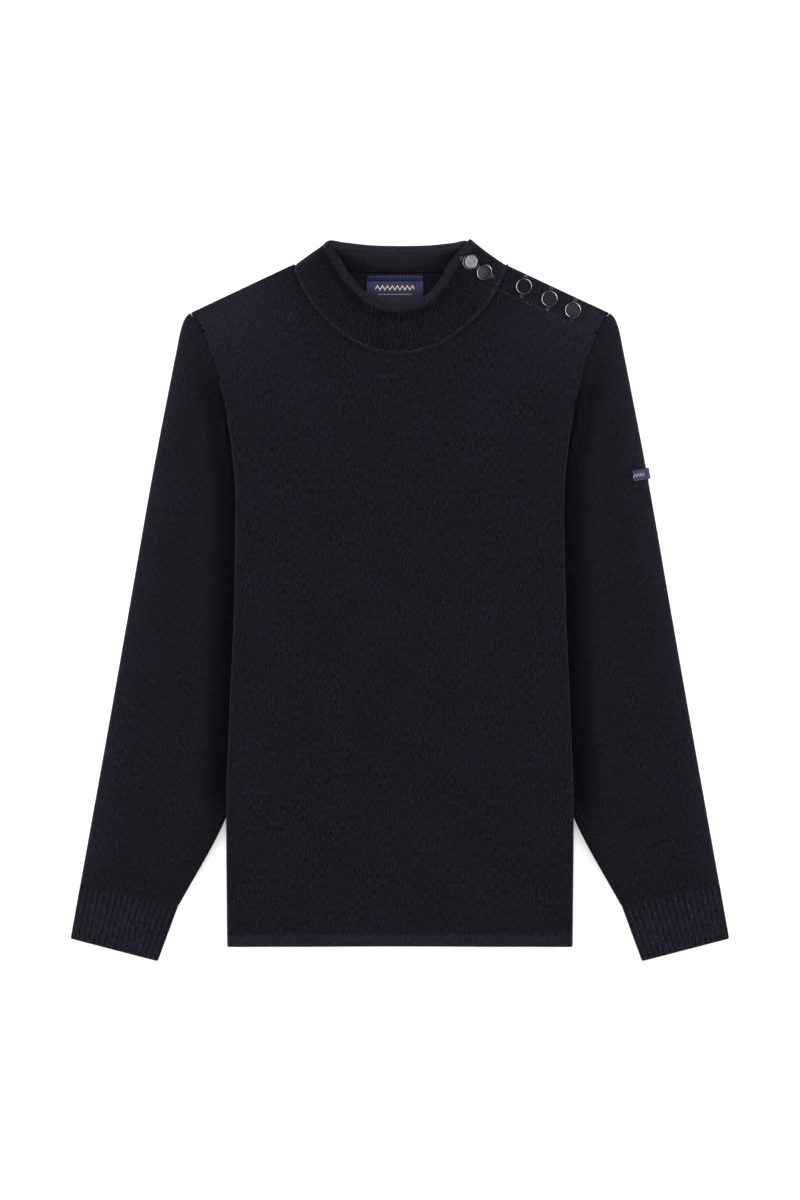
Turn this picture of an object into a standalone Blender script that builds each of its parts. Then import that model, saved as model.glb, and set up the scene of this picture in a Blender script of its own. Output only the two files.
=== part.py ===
"""A sailor sweater in dark navy wool, laid flat on its back with both sides turned under.

Sizes are in millimetres until a mesh is made. +X is the wearer's left, +Y points to the neck and
+Z up from the surface that the sweater lies on. Each wall is built from the middle surface of its
cloth, moved out to both faces."""

import math
from collections import namedtuple

import bpy
import numpy as np

MM = 0.001

# Cloth
CLOTH = 2.5
COLLAR_CLOTH = 3.0
STAND_CLOTH = 2.0
LABEL_CLOTH = 1.0
GAP = 0.3
LAYER = CLOTH + GAP
PAIR = 2 * LAYER
HALF_GAP = GAP / 2

# Body
HEM_Y = -346.5
NECK_HALF = 106.0
NECK_SIDE_Y = 335.0
SHOULDER_TIP_X = 208.5
SHOULDER_TIP_Y = 287.2
SIDE_SEAM_X = 100.0  # half-width between the side seams, which lie turned under
FOLD_STARTS_Y = 199.5
FOLD_WHOLE_Y = 129.5
UNDERARM_Y = 79.5
RAMP_X = 20.0
SLEEVE_LIFT_TOP_Y = 236.0
SLEEVE_LIFT_WHOLE_Y = 171.0
SLEEVE_RAMP_FROM = 92.0
SLEEVE_RAMP_TO = 22.0
LEAD = 6.0  # flat stretch between the last top column and where the fold begins
LEAST_LEAD = 0.8
RETURN_SETTLES = 20.0  # length of the turned-under cloth from which the fold keeps its own columns

Edge = namedtuple("Edge", "y half_width")
BODY_EDGE = (
    Edge(287.2, 208.5),
    Edge(269.5, 198.5),
    Edge(239.5, 187.0),
    Edge(209.5, 178.5),
    Edge(179.5, 172.5),
    Edge(149.5, 168.3),
    Edge(104.5, 164.5),
    Edge(0.0, 166.0),
    Edge(-120.0, 171.0),
    Edge(-210.0, 174.0),
    Edge(-346.5, 173.0),
)

# Rows and columns of the body's panels: columns are distances from the middle
TOP_COLUMNS = (0.0, 20.0, 40.0, 60.0, 80.0, 99.5, 120.0, 141.0)
SPREAD_FROM_Y = 150.0  # above here the columns drift from the lifts' places to even ones
SPREAD_TO_Y = 222.0
FOLD_COLUMNS = 4
RETURN_COLUMNS = 3
LOWER_ROWS = (-312.0, -280.0, -250.0, -222.0, -195.0, -160.0, -120.0, -75.0, -25.0, 30.0)
FOLD_ROWS = (UNDERARM_Y, 104.0, FOLD_WHOLE_Y, 147.0, 164.5, 182.0, FOLD_STARTS_Y, 217.0)
FULL_ROWS = (HEM_Y + CLOTH / 2, *LOWER_ROWS, *FOLD_ROWS, SLEEVE_LIFT_TOP_Y)
BACK_YOKE_ROWS = (0.33, 0.66)  # shares of the way from the last full row to the back neck
YOKE_OUTER_Y = 252.0
NECK_ROW_SHARE = 0.16  # how far up the armhole the neckline's lowest row ends

# Sleeve, with the mirror image on the other side
SLEEVE_ROUND = CLOTH + HALF_GAP
SLEEVE_OUTER = (
    Edge(287.5, 208.8),
    Edge(281.0, 214.6),
    Edge(275.5, 217.3),
    Edge(269.5, 219.2),
    Edge(250.0, 222.8),
    Edge(0.0, 267.7),
    Edge(-286.0, 319.0),
    Edge(-337.0, 328.2),
)
SLEEVE_INNER = (
    Edge(79.5, 108.0),
    Edge(0.0, 114.0),
    Edge(-80.0, 130.0),
    Edge(-150.0, 149.5),
    Edge(-219.5, 174.5),
    Edge(-306.5, 221.5),
)
Ring = namedtuple("Ring", "outer_y inner_y armhole_bend")
SLEEVE_RINGS = (
    Ring(285.5, 79.5, 1.0),
    Ring(272.0, 68.0, 0.88),
    Ring(250.0, 48.0, 0.66),
    Ring(222.0, 24.0, 0.46),
    Ring(188.0, -6.0, 0.28),
    Ring(146.0, -40.0, 0.14),
    Ring(92.0, -78.0, 0.05),
    Ring(30.0, -120.0, 0.0),
    Ring(-40.0, -162.0, 0.0),
    Ring(-112.0, -204.0, 0.0),
    Ring(-190.0, -248.0, 0.0),
    Ring(-283.5, -304.4, 0.0),
)

SLEEVE_COLUMNS = 9
ROUND_COLUMNS = 3  # steps round a sleeve's or a cuff's edge

# Cuff
CUFF_TOP_OUTER = (319.2, -286.5)
CUFF_TOP_INNER = (222.3, -307.5)
CUFF_END_OUTER = (328.0, -336.0)
CUFF_END_INNER = (241.2, -358.7)
CUFF_RIBS = 14
CUFF_RIB_HEIGHT = 0.8
CUFF_RINGS = (0.0, 0.08, 0.92, 1.0)  # the ribs fade out over the first and the last stretch
CUFF_COLUMNS = 2 * CUFF_RIBS + 1
CUFF_UNDER_COLUMNS = 5

# Collar: stations from its front end at the wearer's left, round the front, to its back end
COLLAR_RIBS = 128
COLLAR_RIB_HEIGHT = 0.5
COLLAR_BULGE = 1.6
COLLAR_HEIGHTS = (0.0, 0.08, 0.5, 0.94, 1.0)
Station = namedtuple("Station", "place base_x base_y base_z rim_x rim_y rim_z")
COLLAR_STATIONS = (
    Station("front end", 105.0, 331.0, 8.2, 70.0, 357.6, 36.5),
    Station("left front, high", 97.0, 312.0, 8.0, 59.0, 346.5, 33.5),
    Station("left front, middle", 84.0, 292.0, 7.0, 49.0, 333.0, 28.5),
    Station("left front, low", 65.0, 273.0, 5.6, 41.0, 318.5, 23.5),
    Station("left of the centre", 43.0, 257.0, 4.6, 28.5, 304.0, 19.0),
    Station("near the centre", 20.5, 248.4, 4.4, 12.5, 297.0, 16.5),
    Station("front centre", -2.0, 245.8, 4.4, -4.0, 295.0, 16.0),
    Station("past the centre", -24.5, 248.8, 4.4, -20.5, 298.0, 16.5),
    Station("right front, low", -46.0, 258.5, 4.4, -36.0, 307.0, 19.0),
    Station("right front, middle", -67.5, 274.0, 4.4, -48.0, 320.0, 23.0),
    Station("right front", -85.5, 294.0, 4.4, -58.0, 335.0, 28.0),
    Station("right front, high", -98.0, 314.0, 4.5, -66.0, 348.5, 33.0),
    Station("right fold", -103.8, 330.8, 4.5, -69.6, 357.0, 37.0),
    Station("back right", -88.0, 333.0, 3.1, -55.0, 356.2, 39.5),
    Station("back, right of the centre", -46.0, 330.0, 1.7, -28.0, 353.0, 42.0),
    Station("back centre", 0.0, 328.6, 1.7, 0.0, 351.6, 43.5),
    Station("back, left of the centre", 46.0, 330.0, 1.7, 28.0, 352.8, 42.0),
    Station("back left", 84.0, 333.2, 3.1, 52.0, 355.4, 38.5),
    Station("left fold", 97.5, 329.0, 4.6, 63.5, 354.0, 33.5),
    Station("back end", 92.0, 312.0, 4.6, 55.5, 342.5, 29.0),
)
PLACE_STEP = 0.03  # of a station's number, to find a direction
FRONT_CENTRE_STATION = 6
RIGHT_FOLD_STATION = 12
NECK_SEAM = 0.9  # gap at the neck seam, whose short chords take up most of it
NECK_ROWS = (0.16, 0.32, 0.47, 0.61, 0.73, 0.84, 0.93, 1.0)  # shares of the way up the neckline
BACK_NECK_Y = 325.4

# Button stand under the front's shoulder band
STAND_FROM_X = 116.0
STAND_TO_X = 186.0
STAND_WIDTH = 24.0
STAND_INSET = 2.0
STAND_COLUMNS = 5
BAND_WIDTH = 27.0
BAND_RAMP = 26.0
BAND_STARTS = (40.0, 78.0)  # x from and to which the stand begins to hold the band up
BAND_ENDS = (190.0, 205.0)

# Buttons
BUTTON_RADIUS = 8.1
BUTTON_FOOT = 2.2
BUTTON_STEPS = 20
Profile = namedtuple("Profile", "radius height")
BUTTON_PROFILE = (
    Profile(0.0, 2.5),
    Profile(5.2, 2.3),
    Profile(6.4, 3.2),
    Profile(7.4, 3.3),
    Profile(BUTTON_RADIUS, 2.6),
    Profile(BUTTON_RADIUS, 1.7),
    Profile(7.2, 1.1),
    Profile(BUTTON_FOOT, 0.9),
    Profile(BUTTON_FOOT, 0.0),
    Profile(0.0, 0.0),
)
COLLAR_BUTTONS = ((71.3, 337.9), (84.5, 327.5))
COLLAR_BUTTON_PLACES = np.linspace(0.0, 2.0, 81)  # where on the collar their spots are looked for
COLLAR_BUTTON_HEIGHTS = np.linspace(0.1, 0.95, 69)
SHOULDER_BUTTONS = ((124.5, 313.0), (149.9, 300.8), (173.8, 289.7))

# Labels
NECK_LABEL_X = -5.0
NECK_LABEL_WIDTH = 57.0
NECK_LABEL_TOP_Y = 325.4
NECK_LABEL_LENGTH = 36.0
NECK_LABEL_GRID = (4, 5)
SLEEVE_LABEL_Y = 126.0
SLEEVE_LABEL_WIDTH = 11.0
SLEEVE_LABEL_REACH = 14.0
SLEEVE_LABEL_LOOP = 4.9
SLEEVE_LABEL_TURN = 118.0  # degrees round the sleeve's edge
SLEEVE_LABEL_GRID = (3, 7)  # columns across it, and points round the edge

WOOL = ("navy_wool", (0.0115, 0.0108, 0.0165), 0.95, 0.0)
METAL = ("gunmetal", (0.30, 0.31, 0.33), 0.3, 1.0)
WOVEN = ("navy_label", (0.03, 0.036, 0.09), 0.7, 0.0)


def smooth(value, start, end):
    share = np.clip((value - start) / (end - start), 0.0, 1.0)
    return share * share * (3 - 2 * share)


def mix(a, b, share):
    return a + (b - a) * share


def unit(vectors):
    return vectors / np.maximum(np.linalg.norm(vectors, axis=-1, keepdims=True), 1e-9)


def through(rows, place):
    """A smooth curve through the rows of a table, read at a row number that may lie between two."""
    rows = np.asarray(rows, float)
    place = np.clip(np.asarray(place, float), 0, len(rows) - 1)
    k = np.minimum(place.astype(int), len(rows) - 2)
    t = (place - k)[..., None]
    before, start, end, after = (
        rows[np.clip(k + step, 0, len(rows) - 1)] for step in (-1, 0, 1, 2)
    )
    return 0.5 * (
        2 * start
        + (end - before) * t
        + (2 * before - 5 * start + 4 * end - after) * t**2
        + (3 * start - before - 3 * end + after) * t**3
    )


def edge_at(table, y):
    """Half-width at y, with a smooth slope through every row of the table."""
    rows = sorted(table)
    ys = np.array([row.y for row in rows])
    widths = np.array([row.half_width for row in rows])
    rises = np.diff(widths) / np.diff(ys)
    before, after = np.append(rises[0], rises), np.append(rises, rises[-1])
    together = before * after > 0
    slopes = np.where(together, 2 * before * after / np.where(together, before + after, 1.0), 0.0)
    y = np.clip(y, ys[0], ys[-1])
    k = np.clip(np.searchsorted(ys, y) - 1, 0, len(ys) - 2)
    span = ys[k + 1] - ys[k]
    t = (y - ys[k]) / span
    return (
        widths[k] * (1 + 2 * t) * (1 - t) ** 2
        + slopes[k] * span * t * (1 - t) ** 2
        + widths[k + 1] * t * t * (3 - 2 * t)
        + slopes[k + 1] * span * t * t * (t - 1)
    )


def material(name, colour, roughness, metallic):
    made = bpy.data.materials.get(name)
    if made is None:
        made = bpy.data.materials.new(name)
        made.use_nodes = True
        shader = made.node_tree.nodes["Principled BSDF"]
        shader.inputs["Base Color"].default_value = (*colour, 1.0)
        shader.inputs["Roughness"].default_value = roughness
        shader.inputs["Metallic"].default_value = metallic
    return made


def grid_faces(index, wrap=False):
    """Quads of a grid of vertex numbers, whose faces point along row direction x column direction."""
    columns = index.shape[1]
    last = columns if wrap else columns - 1
    return [
        (index[r, c], index[r + 1, c], index[r + 1, (c + 1) % columns], index[r, (c + 1) % columns])
        for r in range(len(index) - 1)
        for c in range(last)
    ]


def cloth_wall(name, middle, outward, inward, faces, finish, rim_steps=2):
    """One closed wall: the middle surface moved out to both faces, with a round edge all along its rim."""
    middle = np.asarray(middle, float)
    outward = np.asarray(outward, float)
    inward = np.asarray(inward, float)
    count = len(middle)
    edges = {(face[k], face[(k + 1) % len(face)]) for face in faces for k in range(len(face))}
    rim = [(a, b) for a, b in edges if (b, a) not in edges]
    sideways = np.zeros_like(middle)
    normal = unit(outward)
    for a, b in rim:
        along = unit(middle[b] - middle[a])
        for end in (a, b):
            sideways[end] += unit(np.cross(along, normal[end]))
    rim_points = sorted({end for edge in rim for end in edge})
    sideways = unit(sideways) * np.linalg.norm(inward, axis=1, keepdims=True)

    vertices = [middle + outward, middle + inward]
    rings = {0: {v: v for v in rim_points}, rim_steps: {v: v + count for v in rim_points}}
    total = 2 * count
    for step in range(1, rim_steps):
        turn = math.pi * step / rim_steps
        face_side = outward if turn < math.pi / 2 else inward
        moved = sideways * math.sin(turn) + face_side * abs(math.cos(turn))
        vertices.append((middle + moved)[rim_points])
        rings[step] = {v: total + k for k, v in enumerate(rim_points)}
        total += len(rim_points)
    made = [half for a, b, c, d in faces for half in ((a, b, c), (a, c, d))]
    made += [tuple(v + count for v in reversed(face)) for face in made]
    for a, b in rim:
        for step in range(rim_steps):
            here, there = rings[step], rings[step + 1]
            made.append((here[b], here[a], there[a], there[b]))
    return add_object(name, np.concatenate(vertices), made, finish)


def add_object(name, vertices, faces, finish):
    mesh = bpy.data.meshes.new(name)
    mesh.from_pydata((vertices * MM).tolist(), [], [tuple(int(v) for v in face) for face in faces])
    mesh.shade_smooth()
    mesh.materials.append(material(*finish))
    obj = bpy.data.objects.new(name, mesh)
    bpy.data.collections["sailor_sweater"].objects.link(obj)
    return obj


def sleeve_lift(x, y):
    """How far the body is held up by the sleeve under it."""
    inner = edge_at(SLEEVE_INNER, np.minimum(y, SLEEVE_INNER[0].y))
    across = smooth(np.abs(x), inner - SLEEVE_RAMP_FROM, inner - SLEEVE_RAMP_TO)
    return PAIR * across * (1 - smooth(y, SLEEVE_LIFT_WHOLE_Y, SLEEVE_LIFT_TOP_Y))


def tuck_lift(x, y):
    """How far the top layers are held up by the two layers turned under."""
    return PAIR * smooth(np.abs(x), RAMP_X, SIDE_SEAM_X) * (1 - smooth(y, FOLD_WHOLE_Y, FOLD_STARTS_Y))


def below_shoulder(x, y):
    """Distance from the wearer's-left shoulder line, towards the hem."""
    run = SHOULDER_TIP_X - NECK_HALF
    drop = NECK_SIDE_Y - SHOULDER_TIP_Y
    return ((NECK_SIDE_Y - y) * run - (x - NECK_HALF) * drop) / math.hypot(run, drop)


def stand_lift(x, y):
    """How far the front is held up by the button stand under its shoulder band."""
    off = below_shoulder(x, y)
    across = smooth(x, *BAND_STARTS) * (1 - smooth(x, *BAND_ENDS))
    return (STAND_CLOTH + GAP) * across * (1 - smooth(off, BAND_WIDTH, BAND_WIDTH + BAND_RAMP))


def level(x, y, front):
    """Height of the middle of the front's or the back's upper stretch."""
    height = CLOTH / 2 + sleeve_lift(x, y) + tuck_lift(x, y)
    return height + LAYER + stand_lift(x, y) if front else height


def collar_base(place):
    """Where the collar's middle surface meets the body, at a station number."""
    return through([(s.base_x, s.base_y, s.base_z) for s in COLLAR_STATIONS], place)


def neck_edge(place):
    """The body's neckline beside the collar: its base moved off by half of each cloth and the gap."""
    here = collar_base(place)[:2]
    along = unit(collar_base(place + PLACE_STEP)[:2] - collar_base(place - PLACE_STEP)[:2])
    away = np.array([-along[1], along[0]])
    return here + away * (COLLAR_CLOTH / 2 + NECK_SEAM + CLOTH / 2)


def back_neck(share):
    """The back's shallow neckline, from its middle to the wearer's-left shoulder."""
    corner = neck_edge(RIGHT_FOLD_STATION) * (-1, 1)
    return np.array((corner[0] * share, mix(BACK_NECK_Y, corner[1] - GAP, share**2)))


def body_row(inner, outer_y, front, side):
    """One row of a panel on one side: from inner, an (x, y) on the +X side, out over the top, round the
    fold and back under. Returns its points and their outward directions."""
    turn = math.pi * (1 - smooth(outer_y, FOLD_WHOLE_Y, FOLD_STARTS_Y))
    radius = LAYER * 1.5 if front else LAYER / 2
    outermost = LAYER * 1.5 + CLOTH / 2
    edge = edge_at(BODY_EDGE, outer_y) - HALF_GAP
    centre_x = edge - max(CLOTH / 2, outermost * math.sin(min(turn, math.pi / 2)))
    returned = (centre_x - SIDE_SEAM_X) * (1 - smooth(outer_y, UNDERARM_Y, FOLD_WHOLE_Y))
    lead = LEAD * (1 - turn / math.pi) + LEAST_LEAD
    lead_x = centre_x - lead
    points, directions = [], []

    def on_top(x):
        y = mix(inner[1], outer_y, (x - inner[0]) / (centre_x - inner[0]))
        points.append((side * x, y, level(side * x, y, front)))
        directions.append((0.0, 0.0, 1.0))

    evenly = inner[0] + (lead_x - inner[0]) * np.arange(len(TOP_COLUMNS)) / len(TOP_COLUMNS)
    for x in mix(np.array(TOP_COLUMNS), evenly, smooth(outer_y, SPREAD_FROM_Y, SPREAD_TO_Y)):
        on_top(x)
    on_top(lead_x)

    arc = radius * turn
    fold_z = level(side * centre_x, outer_y, front) - radius
    settled = min(returned / RETURN_SETTLES, 1.0)
    steps = FOLD_COLUMNS + RETURN_COLUMNS
    for k in range(1, steps + 1):
        round_fold = min(k / FOLD_COLUMNS, 1.0)
        back_under = max(k - FOLD_COLUMNS, 0) / RETURN_COLUMNS
        by_part = lead + arc * round_fold + returned * back_under
        along = mix((lead + arc + returned) * k / steps, by_part, settled)
        if along <= lead:
            on_top(lead_x + along)
        elif along <= lead + arc:
            angle = (along - lead) / radius
            out, up = math.sin(angle), math.cos(angle)
            points.append((side * (centre_x + radius * out), outer_y, fold_z + radius * up))
            directions.append((side * out, 0.0, up))
        else:
            x = centre_x - (along - lead - arc)
            low = CLOTH / 2 + sleeve_lift(x, outer_y) + (0.0 if front else LAYER)
            points.append((side * x, outer_y, low))
            directions.append((0.0, 0.0, -1.0))
    return points, directions


def panel_rows(front):
    """Rows of a panel from the hem up: its inner (x, y) on the left and on the right, and its outer y.
    The first ones run from side to side, and the others, beside the neck, are parted."""
    rows = [((0.0, y), (0.0, y), y) for y in FULL_ROWS]
    last = FULL_ROWS[-1]
    tip_y = SHOULDER_TIP_Y - CLOTH / 2
    neck_y = neck_edge(FRONT_CENTRE_STATION)[1] if front else BACK_NECK_Y
    if not front:
        for share in BACK_YOKE_ROWS:
            y = mix(last, neck_y, share)
            rows.append(((0.0, y), (0.0, y), mix(last, YOKE_OUTER_Y, share)))
        last = YOKE_OUTER_Y
    lowest = mix(last, tip_y, NECK_ROW_SHARE)
    rows.append(((0.0, neck_y), (0.0, neck_y), lowest))
    joined = len(rows)
    for share in NECK_ROWS if front else NECK_ROWS[1::2]:
        if front:
            left = neck_edge(mix(FRONT_CENTRE_STATION, 0.0, share))
            right = neck_edge(mix(FRONT_CENTRE_STATION, RIGHT_FOLD_STATION, share)) * (-1, 1)
        else:
            left = right = back_neck(share)
        rows.append((left, right, mix(lowest, tip_y, share)))
    return rows, joined


def panel(name, front):
    """Front or back: whole rows from the hem up to the neck, then a wing on each side of it."""
    rows, joined = panel_rows(front)
    points, directions, faces = [], [], []
    middle_column = []
    for side in (1, -1):
        index = []
        for number, (left, right, outer_y) in enumerate(rows):
            found = body_row(left if side > 0 else right, outer_y, front, side)
            start = len(points)
            shared = side < 0 and number < joined
            points += found[0][shared:]
            directions += found[1][shared:]
            numbers = list(range(start, len(points)))
            if shared:
                numbers.insert(0, middle_column[number])
            elif side > 0:
                middle_column.append(start)
            index.append(numbers)
        faces += [face[::side * -1] for face in grid_faces(np.array(index))]
    outward = np.array(directions) * CLOTH / 2
    return cloth_wall(name, points, outward, -outward, faces, WOOL)


def tube_ring(path, under, raised):
    """A flattened ring of cloth along a path in plan, from the outer edge's centre to the inner one's:
    over the top, round the inner edge, back underneath along its own path and round the outer edge."""
    across = unit(path[-1] - path[0])
    radius = LAYER / 2
    centre_z = SLEEVE_ROUND
    points, vectors, heights = [], [], []
    for (x, y), height in zip(path, raised):
        points.append((x, y, centre_z + radius))
        vectors.append((0.0, 0.0, 1.0))
        heights.append(height)
    for end, way, order in ((path[-1], across, 1), (path[0], -across, -1)):
        for k in range(1, ROUND_COLUMNS):
            angle = math.pi * k / ROUND_COLUMNS
            rise = math.cos(angle) * order
            side = math.sin(angle)
            points.append((*(end + way * radius * side), centre_z + radius * rise))
            vectors.append((*(way * side), rise))
            heights.append(0.0)
        if order == 1:
            for x, y in under[::-1]:
                points.append((x, y, centre_z - radius))
                vectors.append((0.0, 0.0, -1.0))
                heights.append(0.0)
    return points, vectors, heights


def tube(name, rings, side):
    """A tube of cloth through its rings, for +X, or mirrored where side is -1."""
    points = np.array([ring[0] for ring in rings])
    vectors = np.array([ring[1] for ring in rings])
    heights = np.array([ring[2] for ring in rings])[..., None]
    index = np.arange(points.shape[0] * points.shape[1]).reshape(points.shape[:2])
    faces = [face[::side * -1] for face in grid_faces(index, wrap=True)]
    points = (points * (side, 1, 1)).reshape(-1, 3)
    vectors = vectors * (side, 1, 1)
    outward = (vectors * (CLOTH / 2 + heights)).reshape(-1, 3)
    inward = (-vectors * CLOTH / 2).reshape(-1, 3)
    return cloth_wall(name, points, outward, inward, faces, WOOL)


def straight_path(outer, inner, columns):
    outer, inner = np.array(outer), np.array(inner)
    across = unit(inner - outer)
    return np.linspace(outer + across * SLEEVE_ROUND, inner - across * SLEEVE_ROUND, columns)


def across_sleeve(ring):
    outer = (edge_at(SLEEVE_OUTER, ring.outer_y), ring.outer_y)
    inner = (edge_at(SLEEVE_INNER, ring.inner_y), ring.inner_y)
    return straight_path(outer, inner, SLEEVE_COLUMNS)


def armhole_path():
    """The sleeve's end: beside the body's edge from the shoulder, then under the body to the underarm."""
    (start_x, start_y), *_, (end_x, end_y) = across_sleeve(SLEEVE_RINGS[0])
    ys = np.linspace(start_y, end_y, SLEEVE_COLUMNS)
    seam = edge_at(BODY_EDGE, ys) + HALF_GAP + CLOTH / 2
    xs = mix(seam, end_x, 1 - smooth(ys, end_y, SLEEVE_LIFT_WHOLE_Y))
    xs[0] = max(xs[0], start_x)
    return np.stack([xs, ys], axis=1)


def sleeve(name, side):
    bend = armhole_path() - across_sleeve(SLEEVE_RINGS[0])
    rings = []
    for ring in SLEEVE_RINGS:
        path = across_sleeve(ring) + bend * ring.armhole_bend
        rings.append(tube_ring(path, path, np.zeros(SLEEVE_COLUMNS)))
    return tube(name, rings, side)


def cuff(name, side):
    crests = np.arange(CUFF_COLUMNS) % 2 * CUFF_RIB_HEIGHT
    rings = []
    for share in CUFF_RINGS:
        outer = mix(np.array(CUFF_TOP_OUTER), np.array(CUFF_END_OUTER), share)
        inner = mix(np.array(CUFF_TOP_INNER), np.array(CUFF_END_INNER), share)
        path = straight_path(outer, inner, CUFF_COLUMNS)
        under = straight_path(outer, inner, CUFF_UNDER_COLUMNS)
        rings.append(tube_ring(path, under, crests * (0.0 < share < 1.0)))
    return tube(name, rings, side)


def collar_point(place, height):
    """The collar's middle surface at a station number and a share of its height."""
    low = collar_base(place)
    high = through([(s.rim_x, s.rim_y, s.rim_z) for s in COLLAR_STATIONS], place)
    return mix(low, high, np.asarray(height, float)[..., None])


def collar_surface(places, heights):
    """Middle points and outward normals of the collar over a grid of heights and stations."""
    grid_place, grid_height = np.meshgrid(places, heights)
    flat = collar_point(grid_place, grid_height)
    after, before = grid_place + PLACE_STEP, grid_place - PLACE_STEP
    along = collar_point(after, grid_height) - collar_point(before, grid_height)
    up = collar_point(grid_place, grid_height * 0 + 1) - collar_point(grid_place, grid_height * 0)
    normal = unit(np.cross(unit(up), unit(along)))
    bulge = COLLAR_BULGE * np.sin(math.pi * grid_height)[..., None]
    return flat + normal * bulge, normal


def even_places(count):
    """Station numbers that part the collar into equal lengths, measured at half its height."""
    fine = np.linspace(0, len(COLLAR_STATIONS) - 1, 1200)
    points = collar_point(fine, np.full(fine.shape, 0.5))
    lengths = np.concatenate([[0], np.cumsum(np.linalg.norm(np.diff(points, axis=0), axis=1))])
    return np.interp(np.linspace(0, lengths[-1], count), lengths, fine)


def collar():
    places = even_places(2 * COLLAR_RIBS + 1)
    middle, normal = collar_surface(places, COLLAR_HEIGHTS)
    crests = np.arange(len(places)) % 2 * COLLAR_RIB_HEIGHT
    raised = np.tile(crests, (len(COLLAR_HEIGHTS), 1))
    raised[[0, -1]] = 0.0
    outward = (normal * (COLLAR_CLOTH / 2 + raised[..., None])).reshape(-1, 3)
    inward = (-normal * COLLAR_CLOTH / 2).reshape(-1, 3)
    index = np.arange(raised.size).reshape(raised.shape)
    return cloth_wall("collar", middle.reshape(-1, 3), outward, inward, grid_faces(index), WOOL)


def button_stand():
    """The flat strip between the back and the front along the wearer's-left shoulder."""
    slope = np.array([SHOULDER_TIP_X - NECK_HALF, SHOULDER_TIP_Y - NECK_SIDE_Y])
    along = unit(slope)
    down = np.array([along[1], -along[0]])
    half = STAND_CLOTH / 2
    points = []
    for off in (STAND_INSET + half, STAND_WIDTH - half):
        for x in np.linspace(STAND_FROM_X, STAND_TO_X, STAND_COLUMNS):
            spot = np.array([NECK_HALF, NECK_SIDE_Y]) + along * (x - NECK_HALF) / along[0] + down * off
            points.append((*spot, LAYER + half))
    index = np.arange(len(points)).reshape(-1, STAND_COLUMNS)
    up = np.tile((0.0, 0.0, half), (len(points), 1))
    return cloth_wall("button_stand", points, up, -up, grid_faces(index), WOOL)


def button(number, spot, normal):
    """A turned metal button on its foot, square to the cloth below it."""
    name = f"button_{number}"
    points = [(row.radius * MM, 0.0, row.height * MM) for row in BUTTON_PROFILE]
    mesh = bpy.data.meshes.new(name)
    mesh.from_pydata(points, [(k, k + 1) for k in range(len(points) - 1)], [])
    mesh.materials.append(material(*METAL))
    obj = bpy.data.objects.new(name, mesh)
    bpy.data.collections["sailor_sweater"].objects.link(obj)
    turned = obj.modifiers.new("turned", "SCREW")
    turned.steps = turned.render_steps = BUTTON_STEPS
    turned.use_merge_vertices = True
    turned.merge_threshold = GAP * MM / 10
    obj.location = [float(v) * MM for v in spot]
    obj.rotation_euler = up_to(normal)
    return obj


def up_to(normal):
    """Euler angles that turn +Z to a direction."""
    x, y, z = normal
    return (0.0, math.acos(z), math.atan2(y, x))


def buttons():
    middle, normal = collar_surface(COLLAR_BUTTON_PLACES, COLLAR_BUTTON_HEIGHTS)
    lift = COLLAR_CLOTH / 2 + COLLAR_RIB_HEIGHT + GAP
    for number, centre in enumerate(COLLAR_BUTTONS, start=1):
        off = np.hypot(middle[..., 0] - centre[0], middle[..., 1] - centre[1])
        nearest = np.unravel_index(np.argmin(off), off.shape)
        button(number, middle[nearest] + normal[nearest] * lift, normal[nearest])
    for number, (x, y) in enumerate(SHOULDER_BUTTONS, start=len(COLLAR_BUTTONS) + 1):
        button(number, (x, y, level(x, y, True) + CLOTH / 2 + GAP), (0.0, 0.0, 1.0))


def neck_label():
    half = LABEL_CLOTH / 2
    rows, columns = NECK_LABEL_GRID
    reach = NECK_LABEL_WIDTH / 2 - half
    top_y = NECK_LABEL_TOP_Y - half
    points = [
        (NECK_LABEL_X + x, y, LAYER + half)
        for y in np.linspace(top_y, NECK_LABEL_TOP_Y - NECK_LABEL_LENGTH + half, rows)
        for x in np.linspace(-reach, reach, columns)
    ]
    index = np.arange(rows * columns).reshape(NECK_LABEL_GRID)
    up = np.tile((0.0, 0.0, half), (rows * columns, 1))
    faces = grid_faces(index)
    return cloth_wall("neck_label", points, up, -up, faces, WOVEN)


def sleeve_label():
    """A tab over the sleeve's outer edge: flat on the top, then round the edge with a small loop."""
    edge = np.array((edge_at(SLEEVE_OUTER, SLEEVE_LABEL_Y), SLEEVE_LABEL_Y))
    below_y = SLEEVE_LABEL_Y - SLEEVE_LABEL_WIDTH
    down = unit(np.array((edge_at(SLEEVE_OUTER, below_y), below_y)) - edge)
    out = np.array((-down[1], down[0]))
    half = LABEL_CLOTH / 2
    drop = SLEEVE_ROUND + GAP + half
    centre = edge - out * SLEEVE_ROUND
    columns, steps = SLEEVE_LABEL_GRID
    profile = [(-SLEEVE_LABEL_REACH + SLEEVE_ROUND, drop, 0.0), (-SLEEVE_LABEL_REACH / 2, drop, 0.0)]
    for angle in np.linspace(0.0, math.radians(SLEEVE_LABEL_TURN), steps):
        profile.append((SLEEVE_LABEL_LOOP * math.sin(angle), drop * math.cos(angle), angle))
    points, vectors = [], []
    for off in np.linspace(-SLEEVE_LABEL_WIDTH / 2 + half, SLEEVE_LABEL_WIDTH / 2 - half, columns):
        for reach, rise, angle in profile:
            points.append((*(centre + out * reach + down * off), SLEEVE_ROUND + rise))
            vectors.append((*(out * math.sin(angle)), math.cos(angle)))
    index = np.arange(len(points)).reshape(columns, -1)
    vectors = np.array(vectors) * half
    return cloth_wall("sleeve_label", points, vectors, -vectors, grid_faces(index), WOVEN)


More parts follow.
